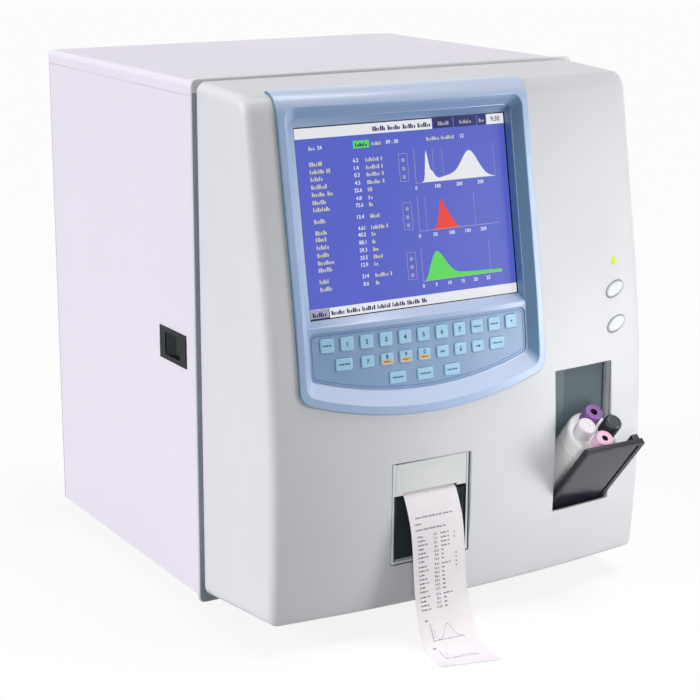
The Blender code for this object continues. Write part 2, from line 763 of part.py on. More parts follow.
def add_chassis():
    steel = finish("chassis_steel", (0.55, 0.56, 0.57), 0.4, 0.8)
    half = HALF_WIDTH - SHEET - FIT
    tray = bmesh.new()
    box(tray, (-half, SEAM, 0), (half, REAR_INNER, TRAY_FLANGE))
    chassis = make("base_chassis", tray, steel)
    cuts = bmesh.new()
    inner = half - SHEET
    box(cuts, (-inner, SEAM + SHEET, SHEET), (inner, REAR_INNER - SHEET, TRAY_FLANGE + OVERRUN))
    combine(chassis, guide("tray_hollow", cuts))
    holes = bmesh.new()
    ring = circle(FOOT_STUD_RADIUS + STUD_CLEARANCE, 12)
    for x, y in foot_places():
        stack(holes, axes_at((x, y, 0), X, Y, Z), [(ring, -SHEET), (ring, 2 * SHEET)])
    combine(chassis, guide("foot_holes", holes))

    rubber = finish("foot_rubber", (0.03, 0.03, 0.03), 0.8)
    names = ("front_left_foot", "front_right_foot", "rear_left_foot", "rear_right_foot")
    for name, (x, y) in zip(names, foot_places()):
        foot = bmesh.new()
        layers = [
            (circle(FOOT_RADIUS - FOOT_TAPER, 16), -FOOT_HEIGHT),
            (circle(FOOT_RADIUS, 16), -FIT),
            (circle(FOOT_STUD_RADIUS, 16), -FIT),
            (circle(FOOT_STUD_RADIUS, 16), SHEET - FIT),
        ]
        stack(foot, axes_at((x, y, 0), X, Y, Z), layers)
        make(name, foot, rubber)


def add_frame():
    pale = finish("frame_paint", (0.85, 0.84, 0.85), 0.4)
    plane = axes_at((0, 0, 0), X, Z, Y)
    half, low, high = HALF_WIDTH + FRAME_OVERHANG, -FRAME_BELOW, CASE_HEIGHT + FRAME_ABOVE
    rear = FRAME_FRONT + FRAME_THICKNESS
    plate = bmesh.new()
    outer = round_rectangle(-half, half, low, high, FRAME_CORNER)
    stack(plate, plane, [(outer, FRAME_FRONT), (outer, rear)])
    frame = make("front_frame", plate, pale)

    shrink = WALL + SPIGOT_CLEARANCE
    front = FRAME_FRONT - SPIGOT_LENGTH
    side = MOULDING_HALF_WIDTH - shrink
    bottom, top = bottom_line(front, shrink), top_line(front, shrink)
    ring = bmesh.new()
    shape = round_rectangle(-side, side, bottom, top, SIDE_ROUNDING - WALL)
    stack(ring, plane, [(shape, front), (shape, rear - FIT)])
    combine(frame, guide("spigot", ring), "UNION")

    bore = bmesh.new()
    wall = SPIGOT_WALL
    shape = round_rectangle(-side + wall, side - wall, bottom + wall, top - wall, SIDE_ROUNDING - WALL)
    stack(bore, plane, [(shape, front - OVERRUN), (shape, FRAME_FRONT)])
    combine(frame, guide("spigot_bore", bore))
    opening = bmesh.new()
    margin = FRAME_OPENING_MARGIN
    shape = round_rectangle(margin - half, half - margin, low + margin, high - margin, FRAME_CORNER)
    stack(opening, plane, [(shape, FRAME_FRONT - OVERRUN), (shape, rear + OVERRUN)])
    combine(frame, guide("frame_opening", opening))


# Moulded front
def add_moulding():
    paint = finish("moulded_front", (0.82, 0.82, 0.83), 0.42)
    outer = bmesh.new()
    block(outer, 0, MOULDING_REAR)
    moulding = make("front_moulding", outer, paint)

    inner = bmesh.new()
    block(inner, WALL, -MOULDING_REAR)
    hollow = guide("moulding_hollow", inner)
    column = bmesh.new()
    side = OPENING_HALF_WIDTH + RETURN_WALL
    box(
        column,
        (OPENING_CENTRE_X - side, FACE_FRONT, OPENING_BOTTOM),
        (OPENING_CENTRE_X + side, RETURN_REAR, OPENING_TOP + RETURN_WALL),
    )
    combine(hollow, guide("opening_return", column))
    combine(moulding, hollow)

    holes = bmesh.new()
    display = shield(
        BEZEL_HALF_WIDTH - BODY_INSET + FIT,
        BODY_TOP + FIT,
        BEZEL_BOTTOM + BODY_INSET - FIT,
        BEZEL_BOTTOM_RADIUS - BODY_INSET + FIT,
        POCKET_CORNER,
        BEZEL_CORNER - BODY_INSET,
    )
    through_face(holes, display, FACE_FRONT, BEZEL_WRAP_REAR + BEZEL_WRAP_CORNER)
    recorder = cut_corners(
        RECORDER_CENTRE_X - RECORDER_HALF_WIDTH,
        RECORDER_CENTRE_X + RECORDER_HALF_WIDTH,
        RECORDER_BOTTOM,
        RECORDER_TOP,
        RECORDER_CORNER,
    )
    through_face(holes, recorder, FACE_FRONT, RETURN_REAR + WALL)
    sample = rectangle(
        OPENING_CENTRE_X - OPENING_HALF_WIDTH,
        OPENING_CENTRE_X + OPENING_HALF_WIDTH,
        OPENING_BOTTOM,
        OPENING_TOP,
    )
    through_face(holes, sample, FACE_FRONT, RETURN_REAR + WALL)
    gap_oval = oval(
        BUTTON_HALF_LENGTH + BUTTON_GAP, BUTTON_HALF_WIDTH + BUTTON_GAP, BUTTON_SIDES, BUTTON_TURN
    )
    reach = 2 * WALL
    for z in (BUTTON_UPPER_Z, BUTTON_LOWER_Z):
        stack(holes, face_place(BUTTON_X, z), [(gap_oval, -reach), (gap_oval, reach)])
    lamp_ring = circle(LAMP_RADIUS + FIT, 12)
    stack(holes, face_place(LAMP_X, LAMP_Z), [(lamp_ring, -reach), (lamp_ring, reach)])
    combine(moulding, guide("moulding_holes", holes))


def add_buttons():
    white = finish("button_white", (0.86, 0.86, 0.88), 0.35)
    behind = -WALL - FIT
    for name, z in (("upper_button", BUTTON_UPPER_Z), ("lower_button", BUTTON_LOWER_Z)):
        layers = []
        for grow, height in (
            (-BUTTON_EDGE, BUTTON_PROUD),
            (-BUTTON_EDGE / 4, BUTTON_PROUD / 2),
            (0, 0),
            (0, behind),
            (BUTTON_FLANGE, behind),
            (BUTTON_FLANGE, behind - BUTTON_FLANGE_THICKNESS),
        ):
            half_length, half_width = BUTTON_HALF_LENGTH + grow, BUTTON_HALF_WIDTH + grow
            layers.append((oval(half_length, half_width, BUTTON_SIDES, BUTTON_TURN), height))
        button = bmesh.new()
        stack(button, face_place(BUTTON_X, z), layers)
        make(name, button, white, (BUTTON_X, face_y(BUTTON_X, z), z))

    lens = finish("lamp_lens", (0.75, 0.85, 0.1), 0.25)
    lamp = bmesh.new()
    layers = [
        (circle(LAMP_RADIUS * LAMP_TIP_SHARE, 12), LAMP_PROUD),
        (circle(LAMP_RADIUS * LAMP_SHOULDER_SHARE, 12), LAMP_PROUD * LAMP_SHOULDER_SHARE),
        (circle(LAMP_RADIUS, 12), 0),
        (circle(LAMP_RADIUS, 12), behind),
        (circle(LAMP_RADIUS + LAMP_FLANGE, 12), behind),
        (circle(LAMP_RADIUS + LAMP_FLANGE, 12), behind - LAMP_FLANGE),
    ]
    stack(lamp, face_place(LAMP_X, LAMP_Z), layers)
    make("status_lamp", lamp, lens)


# Screen
def window_ring(left, right, bottom, top, depth):
    """A rectangle whose long edges have points enough to follow the bow."""
    steps = BOW_STEPS // 2
    along = [left + (right - left) * k / steps for k in range(steps + 1)]
    points = [(x, bottom) for x in along] + [(x, top) for x in reversed(along)]
    return [(x, depth(x, z), z) for x, z in points]


def add_screen():
    blue = finish("bezel_blue", (0.35, 0.47, 0.66), 0.35)
    outer = bmesh.new()
    block(outer, -BEZEL_PROUD, BEZEL_WRAP_REAR)
    bezel = make("screen_bezel", outer, blue)

    wrap = bmesh.new()
    outline = shield(
        BEZEL_HALF_WIDTH,
        CASE_HEIGHT + OVERRUN,
        BEZEL_BOTTOM,
        BEZEL_BOTTOM_RADIUS,
        BEZEL_WRAP_CORNER,
        BEZEL_CORNER,
    )
    through_face(wrap, outline, FACE_FRONT, BEZEL_WRAP_REAR + OVERRUN)
    combine(bezel, guide("bezel_outline", wrap), "INTERSECT")
    plan = bmesh.new()
    left, right = BEZEL_CENTRE_X - BEZEL_HALF_WIDTH, BEZEL_CENTRE_X + BEZEL_HALF_WIDTH
    footprint = round_rectangle(left, right, FACE_FRONT, BEZEL_WRAP_REAR, BEZEL_WRAP_CORNER)
    upright = axes_at((0, 0, 0), X, Y, Z)
    stack(plan, upright, [(footprint, 0), (footprint, CASE_HEIGHT + OVERRUN)])
    combine(bezel, guide("bezel_footprint", plan), "INTERSECT")
    clearance = bmesh.new()
    block(clearance, -FIT, BEZEL_WRAP_REAR + OVERRUN)
    combine(bezel, guide("bezel_clearance", clearance))

    inset = BODY_INSET
    outline = shield(
        BEZEL_HALF_WIDTH - inset,
        BODY_TOP,
        BEZEL_BOTTOM + inset,
        BEZEL_BOTTOM_RADIUS - inset,
        POCKET_CORNER,
        BEZEL_CORNER - inset,
    )
    core = bmesh.new()
    rear = [(x, screen_y(z, BODY_BEHIND_SCREEN), z) for x, z in outline]
    loft(core, [[(x, FACE_FRONT, z) for x, z in outline], rear])
    body = guide("bezel_body", core)
    skin = bmesh.new()
    block(skin, -BEZEL_PROUD / 2, 0)
    combine(body, guide("bezel_body_front", skin), "INTERSECT")
    combine(bezel, body, "UNION")
    combine(bezel, pocket_guide())
    combine(bezel, window_guide())
    combine(bezel, module_space("module_space", FIT))
    combine(bezel, plate_space())
    combine(bezel, rear_hollow())


def pocket_guide():
    """The sloping recess around screen and keys, down to its bowed floor."""
    drop = BEZEL_PROUD + POCKET_DEPTH
    rim = (
        BEZEL_HALF_WIDTH - POCKET_RIM_INSET,
        POCKET_TOP,
        POCKET_BOTTOM,
        POCKET_BOTTOM_RADIUS,
        POCKET_CORNER,
        POCKET_CORNER,
    )
    floor = (
        FLOOR_HALF_WIDTH,
        FLOOR_TOP,
        FLOOR_BOTTOM,
        FLOOR_BOTTOM_RADIUS,
        FLOOR_CORNER,
        FLOOR_CORNER,
    )
    rings = []
    for depth in (-BEZEL_PROUD - POCKET_OVERSHOOT, POCKET_DEPTH + POCKET_OVERSHOOT):
        share = (depth + BEZEL_PROUD) / drop
        sizes = [a + (b - a) * share for a, b in zip(rim, floor)]
        rings.append([(x, face_y(x, z, depth), z) for x, z in shield(*sizes)])
    recess = bmesh.new()
    loft(recess, rings)
    pocket = guide("pocket", recess)
    below = bmesh.new()
    block(below, POCKET_DEPTH, 0)
    return combine(pocket, guide("pocket_floor", below))


def window_guide():
    """The tapered window, from the pocket's floor to just before the screen."""
    half, tall = SCREEN_WIDTH / 2 + SCREEN_BORDER, SCREEN_HEIGHT / 2 + SCREEN_BORDER
    tall *= cos(atan2(FACE_TILT, 1))
    near = (
        BEZEL_CENTRE_X - FLOOR_HALF_WIDTH + WINDOW_LEDGE,
        BEZEL_CENTRE_X + FLOOR_HALF_WIDTH - WINDOW_LEDGE,
        WINDOW_BOTTOM,
        FLOOR_TOP - WINDOW_LEDGE,
    )
    far = (
        SCREEN_CENTRE_X - half,
        SCREEN_CENTRE_X + half,
        SCREEN_CENTRE_Z - tall,
        SCREEN_CENTRE_Z + tall,
    )
    taper = bmesh.new()
    rings = [
        window_ring(*near, lambda x, z: FACE_FRONT),
        window_ring(*near, lambda x, z: face_y(x, z, POCKET_DEPTH - WINDOW_START)),
        window_ring(*far, lambda x, z: screen_y(z, -FIT - WINDOW_EDGE)),
        window_ring(*far, lambda x, z: screen_y(z, BODY_BEHIND_SCREEN / 2)),
    ]
    loft(taper, rings)
    return guide("window", taper)


def module_shape(mesh, grow, front, rear):
    """The screen module's box, square to the screen."""
    lean = atan2(FACE_TILT, 1)
    up, out = Vector((0, sin(lean), cos(lean))), Vector((0, -cos(lean), sin(lean)))
    centre = (SCREEN_CENTRE_X, screen_y(SCREEN_CENTRE_Z), SCREEN_CENTRE_Z)
    half = SCREEN_WIDTH / 2 + SCREEN_BORDER + MODULE_MARGIN + grow
    tall = SCREEN_HEIGHT / 2 + SCREEN_BORDER + MODULE_MARGIN + grow
    shape = rectangle(-half, half, -tall, tall)
    stack(mesh, axes_at(centre, X, up, out), [(shape, front), (shape, rear)])


def module_space(name, grow):
    space = bmesh.new()
    module_shape(space, grow, grow, -OVERRUN)
    return guide(name, space)


def add_screen_module():
    glass = finish("screen_glass", (0.13, 0.13, 0.55), 0.25)
    module = bmesh.new()
    module_shape(module, 0, 0, -MODULE_THICKNESS)
    make("lcd_module", module, glass)


# Key panel
def plate_outline(grow):
    return shield(
        PLATE_HALF_WIDTH + grow,
        PLATE_TOP + grow,
        PLATE_BOTTOM - grow,
        PLATE_BOTTOM_RADIUS + grow,
        PLATE_CORNER,
        PLATE_CORNER,
    )


def plate_space():
    """The key panel's seat in the pocket floor, one clearance deeper than the plate."""
    seat = bmesh.new()
    through_face(seat, plate_outline(FIT), FACE_FRONT, 0)
    space = guide("plate_seat", seat)
    below = bmesh.new()
    block(below, PLATE_SINK + PLATE_THICKNESS + FIT, 0)
    return combine(space, guide("plate_seat_floor", below))


def rear_hollow():
    """Room behind the key panel for its contacts and cable."""
    behind = PLATE_SINK + PLATE_THICKNESS + FIT + REAR_HOLLOW_FLOOR
    hollow = bmesh.new()
    through_face(hollow, plate_outline(-REAR_HOLLOW_MARGIN), FACE_FRONT, 0)
    room = guide("key_contact_room", hollow)
    behind_floor = bmesh.new()
    block(behind_floor, behind, OVERRUN)
    return combine(room, guide("key_contact_floor", behind_floor), "INTERSECT")


def key_list():
    """Name, x, z, width and height of every key."""
    top_row = ("f1", "1", "2", "3", "4", "5", "6", "up", "f2", "f3", "dot")
    middle_row = ("7", "8", "9", "0", "left", "down", "right")
    keys = []
    for k, name in enumerate(top_row):
        x = KEY_COLUMN_X + KEY_PITCH * (k - len(top_row) // 2)
        keys.append((name, x, KEY_ROW_1_Z, KEY_SIZE, KEY_SIZE))
    left = KEY_COLUMN_X + KEY_PITCH * KEY_WIDE_LEFT_SHARE
    right = KEY_COLUMN_X + KEY_PITCH * KEY_WIDE_RIGHT_SHARE
    keys.append(("f4", left, KEY_ROW_2_Z, KEY_WIDE, KEY_LOW_HEIGHT))
    for k, name in enumerate(middle_row):
        x = KEY_COLUMN_X + KEY_PITCH * (k - len(middle_row) // 2)
        keys.append((name, x, KEY_ROW_2_Z, KEY_SIZE, KEY_LOW_HEIGHT))
    keys.append(("f5", right, KEY_ROW_2_Z, KEY_WIDE, KEY_LOW_HEIGHT))
    for k, name in enumerate(("f6", "f7", "f8")):
        x = KEY_COLUMN_X + KEY_PITCH * KEY_ROW_3_SHARE * (k - 1)
        keys.append((name, x, KEY_ROW_3_Z, KEY_WIDE, KEY_LOW_HEIGHT))
    return keys


def key_rings(mesh, x, z, layers):
    """Layers of (width, height, sink) that follow the bowed face, stacked square to the panel."""
    slope = face_slope(KEY_ROW_2_Z)
    inward = Vector((0, 1, -slope)).normalized()
    rings = []
    for width, height, sink in layers:
        shape = cut_corners(-width / 2, width / 2, -height / 2, height / 2, KEY_CORNER)
        rings.append([])
        for a, b in shape:
            point = Vector((x + a, face_y(x + a, z + b), z + b)) + inward * sink
            rings[-1].append(point)
    loft(mesh, rings)


def add_keys():
    plate_blue = finish("key_panel_blue", (0.38, 0.50, 0.72), 0.4)
    key_blue = finish("key_blue", (0.33, 0.62, 0.80), 0.4)
    outer = bmesh.new()
    block(outer, PLATE_SINK, 0)
    plate = make("keypad_plate", outer, plate_blue)
    edge = bmesh.new()
    through_face(edge, plate_outline(0), FACE_FRONT, 0)
    combine(plate, guide("plate_edge", edge), "INTERSECT")
    behind = bmesh.new()
    block(behind, PLATE_SINK + PLATE_THICKNESS, OVERRUN)
    combine(plate, guide("plate_back", behind))

    holes = bmesh.new()
    bottom = KEY_TOP_SINK + KEY_LENGTH
    for name, x, z, width, height in key_list():
        key = bmesh.new()
        crown = 2 * KEY_CROWN
        layers = [
            (width - crown, height - crown, KEY_TOP_SINK),
            (width, height, KEY_TOP_SINK + KEY_CROWN),
            (width, height, bottom),
        ]
        key_rings(key, x, z, layers)
        make("key_" + name, key, key_blue, (x, face_y(x, z, KEY_TOP_SINK), z))
        wide, tall = width + 2 * KEY_CLEARANCE, height + 2 * KEY_CLEARANCE
        key_rings(holes, x, z, [(wide, tall, KEY_TRAVEL), (wide, tall, 2 * bottom)])
    combine(plate, guide("key_holes", holes))


# Recorder
def recorder_x(half):
    return RECORDER_CENTRE_X - half, RECORDER_CENTRE_X + half


def cross_rod(mesh, y, z, layers, sides):
    """Round layers of (radius, distance from the recorder's middle) along X."""
    place = axes_at((RECORDER_CENTRE_X, y, z), Y, Z, X)
    stack(mesh, place, [(circle(radius, sides), at) for radius, at in layers])


def both_ends(layers):
    """Mirrors layers of (radius, distance) so that they run from end to end."""
    return [(radius, -at) for radius, at in reversed(layers)] + layers


def add_recorder():
    grey = finish("recorder_dark", (0.10, 0.12, 0.14), 0.3)
    half = RECORDER_HALF_WIDTH - RECORDER_GAP
    bottom, top = RECORDER_BOTTOM + RECORDER_GAP, RECORDER_TOP - RECORDER_GAP
    left, right = recorder_x(half)
    housing = bmesh.new()
    shape = cut_corners(left, right, bottom, top, RECORDER_CORNER)
    through_face(housing, shape, RECORDER_FACE_Y, RECORDER_REAR_Y)
    body = make("recorder_body", housing, grey)

    left, right = recorder_x(half - RECORDER_LEDGE)
    panel_front = RECORDER_FACE_Y + RECORDER_PANEL_SETBACK
    panel_rear = panel_front + RECORDER_PANEL_THICKNESS
    axis_y = RECORDER_FACE_Y + FLAP_AXIS_SETBACK
    barrel_rear = axis_y + FLAP_BARREL_RADIUS + FLAP_HEADROOM
    wall = RECORDER_WALL
    bay = bmesh.new()
    box(bay, (left, panel_rear, bottom + wall), (right, RECORDER_REAR_Y - wall, top - wall))
    combine(body, guide("recorder_bay", bay))
    front = bmesh.new()
    box(
        front,
        (left, RECORDER_FACE_Y - OVERRUN, bottom + RECORDER_LEDGE),
        (right, panel_front, RECORDER_PANEL_TOP + SHEET),
    )
    combine(body, guide("recorder_panel_recess", front))
    mouth = bmesh.new()
    box(
        mouth,
        (left, RECORDER_FACE_Y - OVERRUN, RECORDER_PANEL_TOP),
        (right, panel_rear + wall, top - wall - FIT),
    )
    combine(body, guide("recorder_mouth", mouth))
    brow = bmesh.new()
    box(
        brow,
        (left, RECORDER_FACE_Y - OVERRUN, FLAP_BOTTOM),
        (right, barrel_rear, top + OVERRUN),
    )
    combine(body, guide("recorder_brow", brow))

    inside = half - RECORDER_LEDGE
    bearings = bmesh.new()
    depth = BEARING_DEPTH
    for y, z, radius, sides in (
        (axis_y, FLAP_AXIS_Z, FLAP_PIN_RADIUS, 8),
        (PLATEN_Y, PLATEN_Z, PLATEN_SHAFT_RADIUS, 12),
        (ROLL_Y, ROLL_Z, SPINDLE_RADIUS, 12),
    ):
        reach = inside + depth + PIN_CLEARANCE
        rod = [(radius + PIN_CLEARANCE, -reach), (radius + PIN_CLEARANCE, reach)]
        cross_rod(bearings, y, z, rod, sides)
    combine(body, guide("recorder_bearings", bearings))
    add_flap(inside, axis_y)
    add_rollers(inside)


def add_flap(inside, axis_y):
    pale = finish("recorder_flap_grey", (0.72, 0.73, 0.74), 0.4)
    half = inside - FIT
    left, right = recorder_x(half)
    top = FLAP_AXIS_Z + FLAP_BARREL_RADIUS
    plate = bmesh.new()
    rear = RECORDER_FACE_Y + FLAP_THICKNESS
    box(plate, (left, RECORDER_FACE_Y, FLAP_BOTTOM), (right, rear, top))
    flap = make("recorder_flap", plate, pale, (RECORDER_CENTRE_X, axis_y, FLAP_AXIS_Z))
    barrel = bmesh.new()
    reach = inside + FLAP_PIN_LENGTH
    rod = both_ends([(FLAP_BARREL_RADIUS, half), (FLAP_PIN_RADIUS, half), (FLAP_PIN_RADIUS, reach)])
    cross_rod(barrel, axis_y, FLAP_AXIS_Z, rod, 8)
    combine(flap, guide("flap_barrel", barrel), "UNION")
    notch = bmesh.new()
    box(
        notch,
        (PAPER_CENTRE_X - FLAP_NOTCH_HALF_WIDTH, RECORDER_FACE_Y - OVERRUN, FLAP_BOTTOM - OVERRUN),
        (PAPER_CENTRE_X + FLAP_NOTCH_HALF_WIDTH, rear + OVERRUN, FLAP_BOTTOM + FLAP_NOTCH_DEPTH),
    )
    combine(flap, guide("flap_notch", notch))
    rib = bmesh.new()
    foot = FLAP_BOTTOM + 2 * FLAP_NOTCH_DEPTH
    box(
        rib,
        (left + FLAP_RIB_HEIGHT, rear - FIT, foot),
        (right - FLAP_RIB_HEIGHT, rear + FLAP_THICKNESS / 2, foot + FLAP_RIB_HEIGHT),
    )
    combine(flap, guide("flap_rib", rib), "UNION")


def add_rollers(inside):
    rubber = finish("platen_rubber", (0.05, 0.05, 0.05), 0.7)
    paper = finish("paper_white", (0.86, 0.84, 0.85), 0.8)
    half, reach = inside - FIT, inside + BEARING_DEPTH
    platen = bmesh.new()
    layers = [(PLATEN_RADIUS, half), (PLATEN_SHAFT_RADIUS, half), (PLATEN_SHAFT_RADIUS, reach)]
    cross_rod(platen, PLATEN_Y, PLATEN_Z, both_ends(layers), 16)
    make("platen_roller", platen, rubber, (RECORDER_CENTRE_X, PLATEN_Y, PLATEN_Z))
    roll = bmesh.new()
    layers = [(ROLL_RADIUS, ROLL_HALF_WIDTH), (SPINDLE_RADIUS, ROLL_HALF_WIDTH), (SPINDLE_RADIUS, reach)]
    cross_rod(roll, ROLL_Y, ROLL_Z, both_ends(layers), 20)
    make("paper_roll", roll, paper, (RECORDER_CENTRE_X, ROLL_Y, ROLL_Z))
    add_paper(paper)


def smooth_route(points, steps):
    """A Catmull-Rom curve through the points."""
    ends = [2 * points[0] - points[1], *points, 2 * points[-1] - points[-2]]
    route = []
    for i in range(1, len(ends) - 2):
        before, start, end, after = ends[i - 1 : i + 3]
        for k in range(steps):
            t = k / steps
            pull = (end - before) * t / 2 + (2 * before - 5 * start + 4 * end - after) * t**2 / 2
            route.append(start + pull + (3 * (start - end) + after - before) * t**3 / 2)
    route.append(ends[-2])
    return route


def add_paper(paper):
    """Roll, platen, slot, then down the front and onto the table, turning aside at its end."""
    gap = PAPER_CLEARANCE + PAPER_THICKNESS / 2
    over = PLATEN_RADIUS + gap
    lead_y, lead_z = cos(PLATEN_LEAD), sin(PLATEN_LEAD)
    points = [
        Vector((ROLL_Y, ROLL_Z + ROLL_RADIUS + gap)),
        Vector(((ROLL_Y + PLATEN_Y) / 2, (ROLL_Z + ROLL_RADIUS + PLATEN_Z + PLATEN_RADIUS) / 2 + gap)),
        Vector((PLATEN_Y, PLATEN_Z + over)),
        Vector((PLATEN_Y - over * lead_y, PLATEN_Z + over * lead_z)),
    ]
    table = PAPER_LIFT + PAPER_THICKNESS / 2 - FOOT_HEIGHT
    fall = PAPER_SLOT_Z - table
    hang = [
        Vector((PAPER_SLOT_Y - reach * PAPER_REACH, PAPER_SLOT_Z - drop * fall))
        for reach, drop in PAPER_ROUTE_SHARES
    ]
    route = smooth_route(points + hang, PAPER_STEPS)
    lengths = [0]
    for a, b in zip(route, route[1:]):
        lengths.append(lengths[-1] + (b - a).length)
    rings = []
    for i, point in enumerate(route):
        run = lengths[i] / lengths[-1]
        late = max(0, run - PAPER_TURN_START_SHARE) / (1 - PAPER_TURN_START_SHARE)
        ease = late**2
        turn = PAPER_TURN * ease
        across = Vector((cos(turn), sin(turn), 0)) * (PAPER_WIDTH / 2)
        ahead = (route[min(i + 1, len(route) - 1)] - route[max(i - 1, 0)]).normalized()
        thick = Vector((0, -ahead.y, ahead.x)) * (PAPER_THICKNESS / 2)
        centre = Vector((PAPER_CENTRE_X + PAPER_DRIFT * ease, point.x, point.y))
        rings.append([centre - across - thick, centre + across - thick])
        rings[-1] += [centre + across + thick, centre - across + thick]
    strip = bmesh.new()
    loft(strip, rings)
    make("paper_strip", strip, paper)


# Sample compartment
def add_liner():
    grey = finish("liner_grey", (0.28, 0.31, 0.33), 0.55)
    centre, half, wall = OPENING_CENTRE_X, LINER_HALF_WIDTH, LINER_WALL
    roof = OPENING_TOP + LINER_ROOF_GAP
    shell = bmesh.new()
    box(
        shell,
        (centre - half - wall, LINER_FRONT, LINER_FLOOR),
        (centre + half + wall, LINER_REAR, roof + wall),
    )
    liner = make("compartment_liner", shell, grey)
    hollow = bmesh.new()
    box(
        hollow,
        (centre - half, LINER_FRONT - OVERRUN, LINER_FLOOR + wall),
        (centre + half, LINER_REAR - wall, roof),
    )
    combine(liner, guide("liner_hollow", hollow))

    needle_y = ADAPTER_Y + TUBE_CIRCLE_RADIUS
    guide_front = needle_y + PROBE_BLOCK_DEPTH / 2 + FIT
    rail = bmesh.new()
    box(
        rail,
        (centre - GUIDE_HALF_WIDTH, guide_front, roof + wall / 2),
        (centre + GUIDE_HALF_WIDTH, guide_front + GUIDE_THICKNESS, GUIDE_TOP),
    )
    combine(liner, guide("probe_guide", rail), "UNION")
    lips = bmesh.new()
    inner = PROBE_BLOCK_WIDTH / 2 + FIT
    for side in (-1, 1):
        ends = sorted((centre + side * inner, centre + side * (inner + GUIDE_LIP_WIDTH)))
        box(
            lips,
            (ends[0], guide_front - GUIDE_LIP_DEPTH, roof + wall + FIT),
            (ends[1], guide_front + GUIDE_THICKNESS / 2, GUIDE_TOP - FIT),
        )
    combine(liner, guide("probe_guide_lips", lips), "UNION")
    holes = bmesh.new()
    ring = circle(PROBE_HOLE_RADIUS, 12)
    stack(holes, axes_at((centre, needle_y, roof), X, Y, Z), [(ring, -wall), (ring, 2 * wall)])
    ring = circle(PIVOT_PIN_RADIUS + PIN_CLEARANCE, 16)
    reach = half + 2 * wall
    pins = axes_at((centre, PIVOT_Y, PIVOT_Z), Y, Z, X)
    stack(holes, pins, [(ring, -reach), (ring, reach)])
    combine(liner, guide("liner_holes", holes))


def add_probe():
    steel = finish("probe_steel", (0.65, 0.66, 0.68), 0.25, 1.0)
    place = (OPENING_CENTRE_X, ADAPTER_Y + TUBE_CIRCLE_RADIUS, 0)
    x, y = place[:2]
    half, deep = PROBE_BLOCK_WIDTH / 2, PROBE_BLOCK_DEPTH / 2
    block_top = PROBE_BLOCK_BOTTOM + PROBE_BLOCK_HEIGHT
    carrier = bmesh.new()
    box(carrier, (x - half, y - deep, PROBE_BLOCK_BOTTOM), (x + half, y + deep, block_top))
    probe = make("sample_probe", carrier, steel, (x, y, PROBE_TIP))
    needle = bmesh.new()
    layers = [
        (circle(PROBE_RADIUS / 2, 8), PROBE_TIP),
        (circle(PROBE_RADIUS, 8), PROBE_TIP + 2 * PROBE_RADIUS),
        (circle(PROBE_RADIUS, 8), block_top + PROBE_BLOCK_HEIGHT / 2),
    ]
    stack(needle, axes_at(place, X, Y, Z), layers)
    combine(probe, guide("needle", needle), "UNION")


